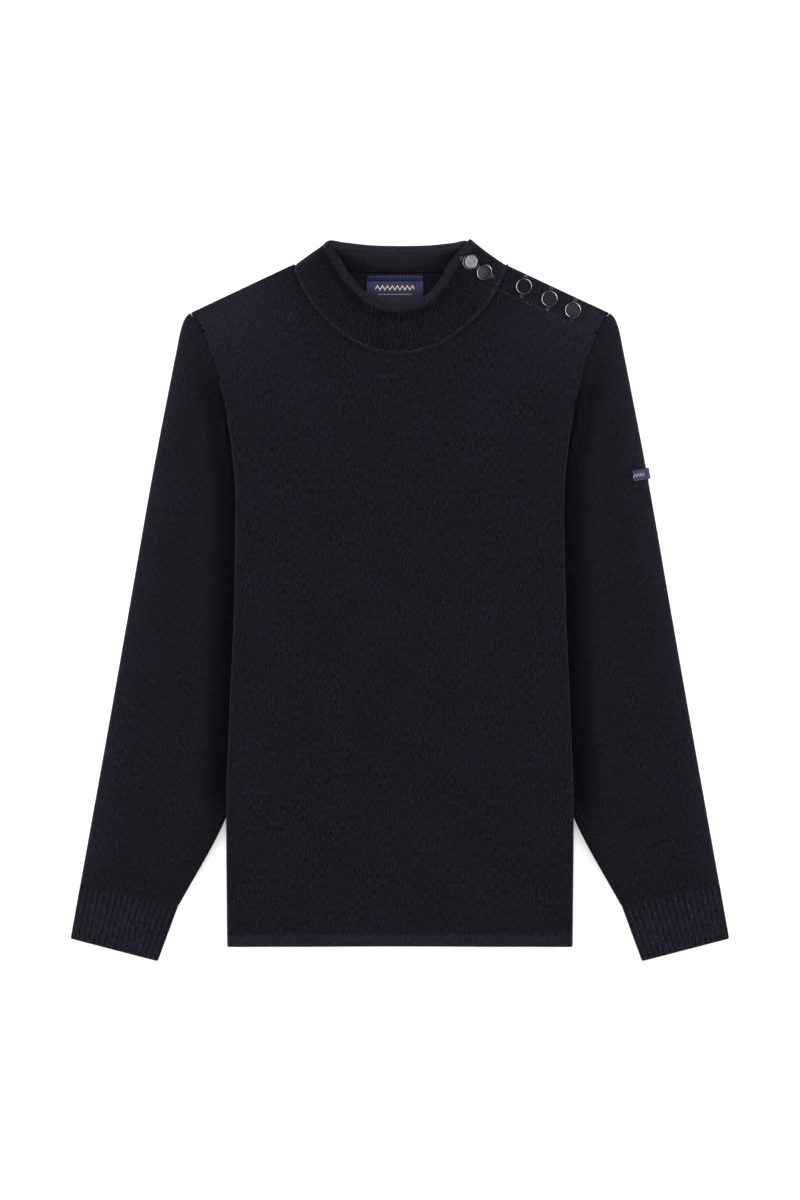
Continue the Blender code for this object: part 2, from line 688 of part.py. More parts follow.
def main():
    for obj in list(bpy.data.objects):
        bpy.data.objects.remove(obj)
    bpy.context.scene.collection.children.link(bpy.data.collections.new("sailor_sweater"))
    panel("front_panel", front=True)
    panel("back_panel", front=False)
    for name, side in (("left", 1), ("right", -1)):
        sleeve(f"{name}_sleeve", side)
        cuff(f"{name}_cuff", side)
    collar()
    button_stand()
    buttons()
    neck_label()
    sleeve_label()


main()
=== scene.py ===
"""A sailor sweater in dark navy felted wool, laid flat with its sides turned under.

Sizes are in millimetres until a mesh is made. +X is the wearer's left, +Y points to the neck and
+Z up from the surface that the sweater lies on. Each cloth piece is a thin wall round the middle
surface of its cloth, on the form of its solid."""

import math
from collections import namedtuple
from functools import partial

import bpy
import numpy as np
from mathutils import Matrix, Vector


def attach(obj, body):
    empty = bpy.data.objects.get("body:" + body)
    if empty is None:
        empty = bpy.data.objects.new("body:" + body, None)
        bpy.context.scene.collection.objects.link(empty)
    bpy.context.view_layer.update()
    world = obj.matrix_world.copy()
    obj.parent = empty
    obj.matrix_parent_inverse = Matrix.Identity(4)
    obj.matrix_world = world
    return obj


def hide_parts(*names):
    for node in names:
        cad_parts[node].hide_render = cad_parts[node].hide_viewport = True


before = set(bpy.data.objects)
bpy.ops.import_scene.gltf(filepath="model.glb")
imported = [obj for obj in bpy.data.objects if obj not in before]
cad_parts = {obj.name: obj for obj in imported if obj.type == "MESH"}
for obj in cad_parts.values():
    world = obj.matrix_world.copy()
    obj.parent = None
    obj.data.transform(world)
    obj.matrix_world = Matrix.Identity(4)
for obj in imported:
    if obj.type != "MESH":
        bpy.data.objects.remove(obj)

MM = 0.001
UP = np.array((0.0, 0.0, 1.0))
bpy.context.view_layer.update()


def table(columns, *rows):
    """A tuple of rows whose columns have names."""
    row_kind = namedtuple("Row", columns)
    return tuple(row_kind(*row) for row in rows)


# Cloth
CLOTH = 2.5
COLLAR_CLOTH = 3.0
STAND_CLOTH = 2.0
LABEL_CLOTH = 1.0
GAP = 0.3
HALF_GAP = GAP / 2
LAYER = CLOTH + GAP
PAIR = 2 * LAYER

# Body
HEM_Y = -347.3
HEM_BAND = 14.0
HEM_PROUD = 0.5
NECK_HALF = 106.0
NECK_SIDE_Y = 336.6
SHOULDER_TIP_X = 208.5
SHOULDER_TIP_Y = 288.1
SIDE_SEAM_X = 100.0
FOLD_STARTS_Y = 199.5
FOLD_WHOLE_Y = 129.5
UNDERARM_Y = 79.5
RAMP_X = 20.0
SLEEVE_LIFT_TOP_Y = 236.0
SLEEVE_LIFT_WHOLE_Y = 171.0
SLEEVE_RAMP_FROM = 92.0
SLEEVE_RAMP_TO = 22.0
FOLD_EASE = 0.45
FOLD_SETTLES = 0.7
RETURN_SETTLES = 20.0
BACK_NECK_Y = 325.4
YOKE_OUTER_Y = 252.0
NECK_ROW_SHARE = 0.16

BODY_EDGE = table(
    "y half_width",
    (288.1, 208.5), (269.5, 198.5), (239.5, 187.0), (209.5, 178.5), (179.5, 172.5), (149.5, 168.3),
    (104.5, 164.5), (0.0, 166.0), (-120.0, 171.0), (-210.0, 174.0), (-347.3, 173.0),
)

# Sleeves and cuffs, for +X
SLEEVE_ROUND = CLOTH + HALF_GAP
SLEEVE_CROWN = 6.4
CROWN_RISE = 0.085
CROWN_FLATNESS = 2.6
CROWN_INSET = 2.0
CREASED_WIDTHS = (12.0, 40.0)
MIRRORED_CREASES_LOWER = 14.0
SLEEVE_TOP_SETTLES = 1.2
SLEEVE_END_FLATTER = 0.85
SLEEVE_OUTER = table(
    "y half_width",
    (288.3, 208.9), (281.8, 214.8), (275.8, 217.5), (269.5, 219.5), (250.0, 223.4), (150.0, 242.9),
    (100.0, 252.0), (0.0, 269.3), (-100.0, 286.8), (-286.0, 320.0), (-337.0, 329.2),
)
SLEEVE_INNER = table(
    "y half_width",
    (79.5, 108.0), (0.0, 114.0), (-80.0, 130.0), (-150.0, 149.5), (-219.5, 174.5), (-306.5, 221.5),
)
SLEEVE_RINGS = table(
    "outer_y inner_y armhole_bend",
    (286.3, 79.5, 1.0), (272.0, 68.0, 0.88), (250.0, 48.0, 0.66), (222.0, 24.0, 0.46),
    (188.0, -6.0, 0.28), (146.0, -40.0, 0.14), (92.0, -78.0, 0.05), (30.0, -120.0, 0.0),
    (-40.0, -162.0, 0.0), (-112.0, -204.0, 0.0), (-190.0, -248.0, 0.0), (-283.5, -304.4, 0.0),
)
CUFF_TOP_OUTER = (320.2, -286.5)
CUFF_TOP_INNER = (222.3, -307.5)
CUFF_END_OUTER = (329.4, -338.1)
CUFF_END_INNER = (241.9, -360.8)
CUFF_RIBS = 16
CUFF_RIB_HEIGHT = 1.1
CUFF_RIB_SHARPNESS = 0.55
CUFF_ENDS = 0.07
CUFF_CROWN = 0.8

# Collar
COLLAR_RIBS = 204
COLLAR_RIB_HEIGHT = 0.65
COLLAR_BULGE = 1.6
COLLAR_ROLL = 1.5
COLLAR_SAG = (0.9, 1.6)
COLLAR_SAG_WAY = (0.6, 0.8)
COLLAR_SAG_REACH = 1.4
COLLAR_RIM = (0.83, 0.9)
COLLAR_RIM_SMOOTHER = 0.75
COLLAR_INSIDE_RIBS = 0.7
COLLAR_ROWS = ((0, 0.1, 5), (0.14, 0.86, 18), (0.9, 1, 6))
COLLAR_STATIONS = table(
    "place base_x base_y base_z rim_x rim_y rim_z",
    ("front end", 106.0, 332.5, 8.2, 70.0, 357.4, 36.5),
    ("left front, high", 97.0, 312.0, 8.0, 59.0, 346.5, 33.5),
    ("left front, middle", 84.0, 292.0, 7.0, 49.0, 333.0, 28.5),
    ("left front, low", 65.0, 273.0, 5.6, 41.0, 318.5, 23.5),
    ("left of the centre", 43.0, 257.0, 4.6, 28.5, 304.0, 19.0),
    ("near the centre", 20.5, 248.4, 4.4, 12.5, 297.0, 16.5),
    ("front centre", -2.0, 245.8, 4.4, -4.0, 295.0, 16.0),
    ("past the centre", -24.5, 248.8, 4.4, -20.5, 298.0, 16.5),
    ("right front, low", -46.0, 258.5, 4.4, -36.0, 307.0, 19.0),
    ("right front, middle", -67.5, 274.0, 4.4, -48.0, 320.0, 23.0),
    ("right front", -85.5, 294.0, 4.4, -58.0, 335.0, 28.0),
    ("right front, high", -98.0, 314.0, 4.5, -66.0, 348.5, 33.0),
    ("right fold", -104.3, 332.2, 4.5, -69.9, 355.6, 37.0),
    ("back right", -88.0, 333.0, 3.1, -55.0, 353.4, 39.5),
    ("back, right of the centre", -46.0, 330.0, 1.7, -28.0, 350.3, 42.0),
    ("back centre", 0.0, 328.6, 1.7, 0.0, 349.5, 43.5),
    ("back, left of the centre", 46.0, 330.0, 1.7, 28.0, 350.2, 42.0),
    ("back left", 84.0, 333.2, 3.1, 52.0, 352.9, 38.5),
    ("left fold", 97.5, 329.0, 4.6, 66.8, 355.4, 32.6),
    ("back end", 92.0, 312.0, 4.6, 55.5, 342.5, 29.0),
)
PLACE_STEP = 0.03
FRONT_CENTRE_STATION = 6
RIGHT_FOLD_STATION = 12
LAST_STATION = len(COLLAR_STATIONS) - 1
NECK_SEAM = 0.5

# Shoulder band, button stand and buttons
STAND_FROM_X = 116.0
STAND_TO_X = 186.0
STAND_WIDTH = 24.0
STAND_INSET = 2.0
BAND_WIDTH = 27.0
BAND_RAMP = 26.0
BAND_STARTS = (40.0, 78.0)
BAND_ENDS = (190.0, 205.0)
# Columns of both button tables: place, tilt, strength of a painted reflection on the face, how far that
# is moved off the centre, and strength of the rim's painted highlights
COLLAR_BUTTONS = table(
    "x y tip_x tip_y polish shift rim",
    (68.6, 337.6, 2.0, 11.0, 0.5, 1.1, 0.42), (82.6, 328.1, 0.0, -5.0, 0.034, 0.0, 0.9),
)
SHOULDER_BUTTONS = table(
    "x y tip_x tip_y polish shift rim",
    (124.1, 313.0, 0.0, 0.0, 0.0, 0.0, 1.0), (149.5, 300.8, 2.5, -2.0, 0.013, 0.0, 1.0),
    (173.3, 289.1, -3.5, 3.0, 0.024, 0.0, 1.0),
)

# Labels
NECK_LABEL_X = -5.0
NECK_LABEL_WIDTH = 57.0
NECK_LABEL_TOP_Y = 325.4
NECK_LABEL_LENGTH = 36.0
SLEEVE_LABEL_Y = 126.0
SLEEVE_LABEL_WIDTH = 11.0
SLEEVE_LABEL_REACH = 14.0
SLEEVE_LABEL_LOOP = 4.9
SLEEVE_LABEL_TURN = 118.0

# Painted light and shade, lighter where light falls and darker where shade falls: shares of the wool's
# own tone, and where
# Painted light on the hem band
HEM_LIGHTER = 0.78
# Painted light on the front's shoulders, growing towards the shoulder tips
SHOULDER_LIGHTER = 0.8
SHOULDER_RISE = (180.0, 300.0)
SHOULDER_SPREAD = (60.0, 185.0)
# Painted shade on the round of the body's side folds
FOLD_DARKER = 0.35
# Painted light along the sleeves' outer edges, and the width it fades over
PAINTED_EDGE_LIGHT = 0.35
PAINTED_EDGE_LIGHT_WIDTH = 26.0
# A painted shadow on the sleeves beside the body's edges: how much darker, the span from the edge where
# it fades, and where it fades out at the top and the bottom
PAINTED_SHADOW_DARKER = 0.7
PAINTED_SHADOW_SPAN = (12.0, 32.0)
PAINTED_SHADOW_TOP = (200.0, 250.0)
PAINTED_SHADOW_END = (-230.0, -190.0)
# Painted light on the cuffs' tops and painted shade in their rib grooves
CUFF_LIGHTER = 0.42
CUFF_GROOVE_DARKER = 0.65
# Painted shade in the collar's rib grooves
GROOVE_DARKER = 0.8
# Painted shade on the round edges of the sleeves and cuffs
EDGE_DARKER = 0.5
COLLAR_LIGHTER = 0.2
# Painted light on the collar's front end, a painted shadow under its rim, painted light on the rolled
# rim and on its inside
END_LIGHTER = 0.4
END_LIT = (0.9, 2.6)
RIM_SHADE = 0.3
RIM_SHADED = (0.62, 0.76)
COLLAR_RIM_LIGHTER = 0.4
COLLAR_INSIDE_LIGHTER = 0.55
# Painted light on the back's inside of the neck
NECK_LIGHTER = 1.7
NECK_RISE = (255.0, 285.0)

# How far aside the mirrored tubes lie in the knit, so that theirs differs
MIRRORED_UV_SHIFT = 900.0

# Fineness of the grids: pitch of rows, counts of rows and columns
ROW_PITCH = 3.2
TOP_COLUMNS = 56
FOLD_COLUMNS = 7
RETURN_COLUMNS = 14
SLEEVE_COLUMNS = 38
ROUND_COLUMNS = 6
NECK_ROWS = 44
SLEEVE_ROWS = 210
CUFF_ROWS = 26


def smooth(value, start, end):
    share = np.clip((value - start) / (end - start), 0.0, 1.0)
    return share * share * (3 - 2 * share)


def mix(a, b, share):
    return a + (b - a) * share


def unit(vectors):
    return vectors / np.maximum(np.linalg.norm(vectors, axis=-1, keepdims=True), 1e-9)


def lengths_along(points):
    """Distances from the start of a line of points, or of each line of a stack."""
    steps = np.diff(points, axis=-2, prepend=points[..., :1, :])
    return np.linalg.norm(steps, axis=-1).cumsum(axis=-1)


def through(rows, place):
    """A smooth curve through the rows of a table, read at a row number that may lie between two."""
    rows = np.asarray(rows, float)
    place = np.clip(np.asarray(place, float), 0, len(rows) - 1)
    k = np.minimum(place.astype(int), len(rows) - 2)
    t = (place - k)[..., None]
    before, start, end, after = (
        rows[np.clip(k + step, 0, len(rows) - 1)] for step in (-1, 0, 1, 2)
    )
    return 0.5 * (
        2 * start
        + (end - before) * t
        + (2 * before - 5 * start + 4 * end - after) * t**2
        + (3 * start - before - 3 * end + after) * t**3
    )


def edge_at(edge, y):
    """Half-width at y, with a smooth slope through every row of an edge's table."""
    rows = sorted(edge)
    ys = np.array([row.y for row in rows])
    widths = np.array([row.half_width for row in rows])
    rises = np.diff(widths) / np.diff(ys)
    before, after = np.append(rises[0], rises), np.append(rises, rises[-1])
    together = before * after > 0
    slopes = np.where(together, 2 * before * after / np.where(together, before + after, 1.0), 0.0)
    y = np.clip(y, ys[0], ys[-1])
    k = np.clip(np.searchsorted(ys, y) - 1, 0, len(ys) - 2)
    span = ys[k + 1] - ys[k]
    t = (y - ys[k]) / span
    return (
        widths[k] * (1 + 2 * t) * (1 - t) ** 2
        + slopes[k] * span * t * (1 - t) ** 2
        + widths[k + 1] * t * t * (3 - 2 * t)
        + slopes[k + 1] * span * t * t * (t - 1)
    )


def edge_point(edge, y):
    return np.stack([edge_at(edge, y), y], axis=-1)


# Soft creases: the middle, the way it runs in degrees from +X, and its own sizes

FRONT_CREASES = table(
    "x y turn length width height",
    (-120, 196, -48, 120, 16, 1.1), (-96, 150, -58, 150, 20, -0.9), (-70, 60, -80, 210, 30, 0.9),
    (118, 178, 52, 130, 15, 1.0), (98, 128, 63, 120, 18, -0.8), (62, 20, 84, 260, 28, -0.9),
    (18, -60, 96, 240, 34, 0.8), (-30, -120, 82, 190, 26, -0.7), (-108, -110, 88, 230, 24, 0.8),
    (112, -130, 92, 210, 26, 0.9), (64, -220, 98, 150, 20, -0.6), (-64, -250, 86, 130, 20, 0.6),
    (2, 214, 3, 120, 18, -0.5), (-152, 60, 90, 130, 9, -0.6), (150, 20, 88, 170, 9, -0.7),
)
SLEEVE_CREASES = table(
    "x y turn length width height",
    (196, 196, -66, 90, 9, -1.0), (222, 92, -74, 120, 12, 1.2), (204, 10, -70, 120, 9, -1.3),
    (236, -52, -68, 130, 12, 1.0), (212, -120, -64, 110, 10, -1.3), (256, -170, -72, 120, 12, 0.9),
    (232, -232, -62, 90, 9, -1.0), (282, -248, -78, 70, 10, 0.7),
)


def creased(creases, x, y, side=1.0):
    """Height of all the creases at a point. Each fades out towards its ends and to both its sides."""
    total = np.zeros(np.broadcast(x, y).shape)
    for crease in creases:
        turn = math.radians(crease.turn)
        away_x, away_y = x * side - crease.x, y - crease.y
        along = (away_x * math.cos(turn) + away_y * math.sin(turn)) / (crease.length / 2)
        across = (away_y * math.cos(turn) - away_x * math.sin(turn)) / crease.width
        bowed = across - 0.25 * along**2
        total += crease.height * np.exp(-(bowed**2)) * np.clip(1 - along**2, 0, 1) ** 1.5
    return total


# Meshes

def new_object(name, data):
    obj = bpy.data.objects.new(name, data)
    bpy.context.scene.collection.objects.link(obj)
    return obj


def material_slot(obj, name):
    obj.data.materials.append(bpy.data.materials[name])


def mesh_object(name, points, faces, uv, lighter):
    """A mesh from points in millimetres. uv, in millimetres too, and lighter, the painted light and
    shade, have one row a point.
    """
    used, faces = np.unique(np.asarray(faces), return_inverse=True)
    faces = faces.reshape(-1, 4)
    mesh = bpy.data.meshes.new(name)
    mesh.from_pydata((np.asarray(points)[used] * MM).tolist(), [], faces.tolist())
    layer = mesh.uv_layers.new(name="cloth")
    layer.data.foreach_set("uv", np.asarray(uv)[used][faces.reshape(-1)].reshape(-1) * MM)
    painted_light_layer = mesh.attributes.new("lighter", "FLOAT", "POINT")
    painted_light_layer.data.foreach_set("value", np.asarray(lighter, float)[used])
    mesh.validate()
    mesh.shade_smooth()
    return new_object(name, mesh)


def grid_faces(index, wrap=False):
    """Quads of a grid of vertex numbers, whose faces point along row direction x column direction."""
    ahead = np.roll(index, -1, axis=1)
    quads = np.stack([index[:-1], index[1:], ahead[1:], ahead[:-1]], axis=-1)
    return quads.reshape(-1, 4) if wrap else quads[:, :-1].reshape(-1, 4)


Surface = namedtuple("Surface", "middle outward inward faces uv lighter")


def grid_surface(middle, outward, inward, uv, lighter=None, wrap=False):
    """A surface from a grid of points, closed round its rows where wrap is true."""
    index = np.arange(middle.shape[0] * middle.shape[1]).reshape(middle.shape[:2])
    lighter = np.zeros(index.size) if lighter is None else lighter.reshape(-1)
    flat = (part.reshape(-1, 3) for part in (middle, outward, inward))
    return Surface(*flat, grid_faces(index, wrap), uv.reshape(-1, 2), lighter)


def cloth_wall(name, surface, rim_steps=4):
    """One closed wall: the middle surface moved out to both faces, with a round edge all along it."""
    middle, outward, inward, faces, uv, lighter = surface
    count = len(middle)
    edges = np.concatenate([faces[:, [k, (k + 1) % 4]] for k in range(4)])
    edges = edges[edges[:, 0] != edges[:, 1]]
    keys = edges[:, 0].astype(np.int64) * count + edges[:, 1]
    back = edges[:, 1].astype(np.int64) * count + edges[:, 0]
    rim = edges[~np.isin(back, keys)]
    normal = unit(outward)
    sideways = np.zeros_like(middle)
    along = unit(middle[rim[:, 1]] - middle[rim[:, 0]])
    for end in (0, 1):
        np.add.at(sideways, rim[:, end], unit(np.cross(along, normal[rim[:, end]])))
    half = np.linalg.norm(inward, axis=1, keepdims=True)
    sideways = unit(sideways) * half
    rim_points = np.unique(rim)
    number = np.full(count, -1)
    number[rim_points] = np.arange(len(rim_points))

    vertices = [middle + outward, middle + inward]
    rings = [np.arange(count)]
    for step in range(1, rim_steps):
        turn = math.pi * step / rim_steps
        face_side = outward if turn < math.pi / 2 else inward
        moved = sideways * math.sin(turn) + face_side * abs(math.cos(turn))
        vertices.append((middle + moved)[rim_points])
        rings.append(2 * count + (step - 1) * len(rim_points) + number)
    rings.append(np.arange(count) + count)
    made = [faces, faces[:, ::-1] + count]
    first, second = rim.T
    for here, there in zip(rings, rings[1:]):
        made.append(np.stack([here[second], here[first], there[first], there[second]], axis=1))
    copied = np.concatenate([np.arange(count)] * 2 + [rim_points] * (rim_steps - 1))
    return mesh_object(
        name, np.concatenate(vertices), np.concatenate(made), uv[copied], lighter[copied]
    )


def cloth_piece(node, surface, finish):
    """A cloth wall with its finish that stands for its node, whose own part it hides."""
    obj = cloth_wall(f"{node}_cloth", surface)
    material_slot(obj, finish)
    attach(obj, "root")
    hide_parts(node)
    return obj


# Heights of the body's layers

def sleeve_lift(x, y):
    """How far the body is held up by the sleeve under it."""
    inner = edge_at(SLEEVE_INNER, np.minimum(y, SLEEVE_INNER[0].y))
    across = smooth(np.abs(x), inner - SLEEVE_RAMP_FROM, inner - SLEEVE_RAMP_TO)
    return PAIR * across * (1 - smooth(y, SLEEVE_LIFT_WHOLE_Y, SLEEVE_LIFT_TOP_Y))


def tuck_lift(x, y):
    """How far the top layers are held up by the two layers turned under."""
    return PAIR * smooth(np.abs(x), RAMP_X, SIDE_SEAM_X) * (1 - smooth(y, FOLD_WHOLE_Y, FOLD_STARTS_Y))


def beside_shoulder(x, off):
    """Points in plan by x along the wearer's-left shoulder line and how far they lie below it."""
    run = shoulder_run()
    down = np.array([run[1], -run[0]])
    return np.array([NECK_HALF, NECK_SIDE_Y]) + run * (x - NECK_HALF) / run[0] + down * off


def shoulder_run():
    return unit(np.array([SHOULDER_TIP_X - NECK_HALF, SHOULDER_TIP_Y - NECK_SIDE_Y]))


def below_shoulder(x, y):
    """Distance from the wearer's-left shoulder line, towards the hem."""
    run = SHOULDER_TIP_X - NECK_HALF
    drop = NECK_SIDE_Y - SHOULDER_TIP_Y
    return ((NECK_SIDE_Y - y) * run - (x - NECK_HALF) * drop) / math.hypot(run, drop)


def stand_lift(x, y):
    """How far the front is held up by the button stand under its shoulder band."""
    off = below_shoulder(x, y)
    across = smooth(x, *BAND_STARTS) * (1 - smooth(x, *BAND_ENDS))
    return (STAND_CLOTH + GAP) * across * (1 - smooth(off, BAND_WIDTH, BAND_WIDTH + BAND_RAMP))


def level(x, y, front):
    """Height of the middle of the front's or the back's upper stretch."""
    height = CLOTH / 2 + sleeve_lift(x, y) + tuck_lift(x, y)
    return height + LAYER + stand_lift(x, y) if front else height


def hem_share(y):
    """1 on the band along the hem, 0 above it."""
    return 1 - smooth(y, HEM_Y + HEM_BAND - 2.0, HEM_Y + HEM_BAND)


def front_relief(x, y):
    """Creases of the front, and the way its cloth rests lower between its edges."""
    calm = smooth(below_shoulder(x, y), BAND_WIDTH, BAND_WIDTH + BAND_RAMP)
    return np.maximum(creased(FRONT_CREASES, x, y), 0.0) * calm


# Collar surface

def collar_base(place):
    """Where the collar's middle surface meets the body, at a station number."""
    return through([(s.base_x, s.base_y, s.base_z) for s in COLLAR_STATIONS], place)


def collar_point(place, height):
    """The collar's middle surface at a station number and a share of its height."""
    high = through([(s.rim_x, s.rim_y, s.rim_z) for s in COLLAR_STATIONS], place)
    return mix(collar_base(place), high, np.asarray(height, float)[..., None])


def collar_sag(place, height):
    """How the edges at the front end and the right fold curve in, seen from above."""
    at_end = 1 - smooth(place, 0.0, COLLAR_SAG_REACH)
    at_fold = 1 - smooth(np.abs(place - RIGHT_FOLD_STATION), 0.0, COLLAR_SAG_REACH)
    rise = np.sin(math.pi * height)
    at_end, at_fold = COLLAR_SAG[0] * at_end * rise, COLLAR_SAG[1] * at_fold * rise
    sideways, down = COLLAR_SAG_WAY
    sag = ((at_fold - at_end) * sideways, -(at_fold + at_end) * down, 0 * rise)
    return np.stack(sag, axis=-1)


def collar_surface(place, height):
    """Middle points and outward normals of the collar at station numbers and shares of its height."""
    flat = collar_point(place, height) + collar_sag(place, height)
    along = collar_point(place + PLACE_STEP, height) - collar_point(place - PLACE_STEP, height)
    up = collar_point(place, height * 0 + 1) - collar_point(place, height * 0)
    normal = unit(np.cross(unit(up), unit(along)))
    return flat + normal * (COLLAR_BULGE * np.sin(math.pi * height))[..., None], normal


def collar_roll(height):
    """How far the collar's rolled rim stands out from its band."""
    return COLLAR_ROLL * smooth(height, *COLLAR_RIM) * np.sqrt(1 - smooth(height, 0.95, 1.02))


def even_places(count):
    """Station numbers that part the collar into equal lengths, measured at half its height."""
    fine = np.linspace(0, LAST_STATION, 1200)
    lengths = lengths_along(collar_point(fine, np.full(fine.shape, 0.5)))
    return np.interp(np.linspace(0, lengths[-1], count), lengths, fine), lengths[-1]


def neck_edge(place):
    """The body's neckline beside the collar."""
    here = collar_base(place)[..., :2]
    along = unit(collar_base(place + PLACE_STEP)[..., :2] - collar_base(place - PLACE_STEP)[..., :2])
    away = np.stack([-along[..., 1], along[..., 0]], axis=-1)
    return here + away * (COLLAR_CLOTH / 2 + NECK_SEAM + CLOTH / 2)


def back_neck(share):
    """The back's shallow neckline, from its middle to the wearer's-left shoulder."""
    corner = neck_edge(np.array(float(RIGHT_FOLD_STATION))) * (-1, 1)
    return np.stack([corner[0] * share, mix(BACK_NECK_Y, corner[1] - GAP, share**2)], axis=-1)


# Front and back

def panel_rows(front):
    """Inner ends on both sides and outer y of each row from the hem up, and how many rows run from side
    to side. The others are parted by the neck."""
    low = np.arange(HEM_Y + CLOTH / 2, SLEEVE_LIFT_TOP_Y, ROW_PITCH)
    tip_y = SHOULDER_TIP_Y - CLOTH / 2
    top_y = neck_edge(np.array(float(FRONT_CENTRE_STATION)))[1] if front else BACK_NECK_Y
    yoke_y = SLEEVE_LIFT_TOP_Y if front else YOKE_OUTER_Y
    lowest = mix(yoke_y, tip_y, NECK_ROW_SHARE)
    steps = np.linspace(0, 1, max(3, int((top_y - SLEEVE_LIFT_TOP_Y) / ROW_PITCH)))
    inner_y = np.append(low, mix(SLEEVE_LIFT_TOP_Y, top_y, steps))
    outer_y = np.append(low, mix(SLEEVE_LIFT_TOP_Y, lowest, steps))
    joined = len(inner_y)
    share = np.linspace(0, 1, NECK_ROWS)[1:]
    if front:
        left = neck_edge(mix(FRONT_CENTRE_STATION, 0.0, share))
        right = neck_edge(mix(FRONT_CENTRE_STATION, RIGHT_FOLD_STATION, share)) * (-1, 1)
    else:
        left = right = back_neck(share)
    middle = np.stack([inner_y * 0, inner_y], axis=1)
    outer_y = np.append(outer_y, mix(lowest, tip_y, share))
    return np.concatenate([middle, left]), np.concatenate([middle, right]), outer_y, joined


def panel_half(inner, outer_y, front, side):
    """Points, outward directions and cloth coordinates of half a panel: each row runs out over the top,
    round the fold and back under."""
    inner_x, inner_y, outer_y = inner[:, :1], inner[:, 1:], outer_y[:, None]
    turn = math.pi * (1 - smooth(outer_y, FOLD_WHOLE_Y, FOLD_STARTS_Y)) ** FOLD_EASE
    radius = LAYER * 1.5 if front else LAYER / 2
    outermost = LAYER * 1.5 + CLOTH / 2
    edge = edge_at(BODY_EDGE, outer_y) - HALF_GAP
    centre_x = edge - np.maximum(CLOTH / 2, outermost * np.sin(np.minimum(turn, math.pi / 2)))
    returned = (centre_x - SIDE_SEAM_X) * (1 - smooth(outer_y, UNDERARM_Y, FOLD_WHOLE_Y))
    top, arc = centre_x - inner_x, radius * turn

    columns = np.arange(TOP_COLUMNS + FOLD_COLUMNS + RETURN_COLUMNS + 1)
    by_part = (
        top * np.clip(columns / TOP_COLUMNS, 0, 1)
        + arc * np.clip((columns - TOP_COLUMNS) / FOLD_COLUMNS, 0, 1)
        + returned * np.clip((columns - TOP_COLUMNS - FOLD_COLUMNS) / RETURN_COLUMNS, 0, 1)
    )
    evenly = (top + arc + returned) * columns / columns[-1]
    round_finely = (
        top * np.clip(columns / TOP_COLUMNS, 0, 1)
        + (arc + returned) * np.clip((columns - TOP_COLUMNS) / (columns[-1] - TOP_COLUMNS), 0, 1)
    )
    along = mix(evenly, round_finely, np.clip(turn / FOLD_SETTLES, 0, 1))
    along = mix(along, by_part, np.clip(returned / RETURN_SETTLES, 0, 1))

    top_x = inner_x + np.minimum(along, top)
    y = mix(inner_y, outer_y, np.minimum(along, top) / top)
    angle = np.clip(along - top, 0, arc) / radius
    under_x = np.maximum(along - top - arc, 0)
    height = level(side * top_x, y, front) + (front_relief(side * top_x, y) if front else 0)
    fold_z = height - radius * (1 - np.cos(angle))
    x = top_x + radius * np.sin(angle) - under_x
    low = CLOTH / 2 + sleeve_lift(x, outer_y) + (0.0 if front else LAYER)
    z = np.where(under_x > 0, low, fold_z)
    points = np.stack([side * x, y, z], axis=-1)
    out = np.where(under_x > 0, 0.0, np.sin(angle))
    up = np.where(under_x > 0, -1.0, np.cos(angle))
    directions = np.stack([side * out, out * 0, up], axis=-1)
    uv = np.stack([side * (inner_x + along), y], axis=-1)
    return points, directions, uv


def panel(node, front):
    left, right, outer_y, joined = panel_rows(front)
    halves = [panel_half(left, outer_y, front, 1), panel_half(right, outer_y, front, -1)]
    rows, columns = halves[0][0].shape[:2]
    index = np.arange(rows * columns).reshape(rows, columns)
    other = index + rows * columns
    other[:joined, 0] = index[:joined, 0]
    faces = np.concatenate([grid_faces(index)[:, ::-1], grid_faces(other)])
    points, directions, uv = (
        np.concatenate([half[part].reshape(rows * columns, -1) for half in halves]) for part in range(3)
    )
    hem = hem_share(points[:, 1])
    on_top = directions[:, 2] > 0.9
    proud = HEM_PROUD * hem * on_top if front else 0 * hem
    lighter = panel_painted_light(points[:, 0], points[:, 1], np.abs(directions[:, 0]), front)
    surface = Surface(
        points, directions * (CLOTH / 2 + proud)[:, None], -directions * CLOTH / 2, faces, uv, lighter
    )
    return cloth_piece(node, surface, "navy felted wool")


# Sleeves and cuffs

def straight_path(outer, inner, columns):
    """Points from the outer edge's centre to the inner one's, in plan, for each ring."""
    outer, inner = np.asarray(outer), np.asarray(inner)
    across = unit(inner - outer)
    start, end = outer + across * SLEEVE_ROUND, inner - across * SLEEVE_ROUND
    return mix(start[:, None], end[:, None], np.linspace(0, 1, columns)[:, None])


def across_sleeve(outer_y, inner_y):
    outer, inner = edge_point(SLEEVE_OUTER, outer_y), edge_point(SLEEVE_INNER, inner_y)
    return straight_path(outer, inner, SLEEVE_COLUMNS)


def armhole_path():
    """The sleeve's end: beside the body's edge from the shoulder, then under the body."""
    first = SLEEVE_RINGS[0]
    chord = across_sleeve(np.array([first.outer_y]), np.array([first.inner_y]))[0]
    (start_x, start_y), (end_x, end_y) = chord[0], chord[-1]
    ys = np.linspace(start_y, end_y, SLEEVE_COLUMNS)
    seam = edge_at(BODY_EDGE, ys) + HALF_GAP + CLOTH / 2
    xs = mix(seam, end_x, 1 - smooth(ys, end_y, SLEEVE_LIFT_WHOLE_Y))
    xs[0] = max(xs[0], start_x)
    return np.stack([xs, ys], axis=1) - chord


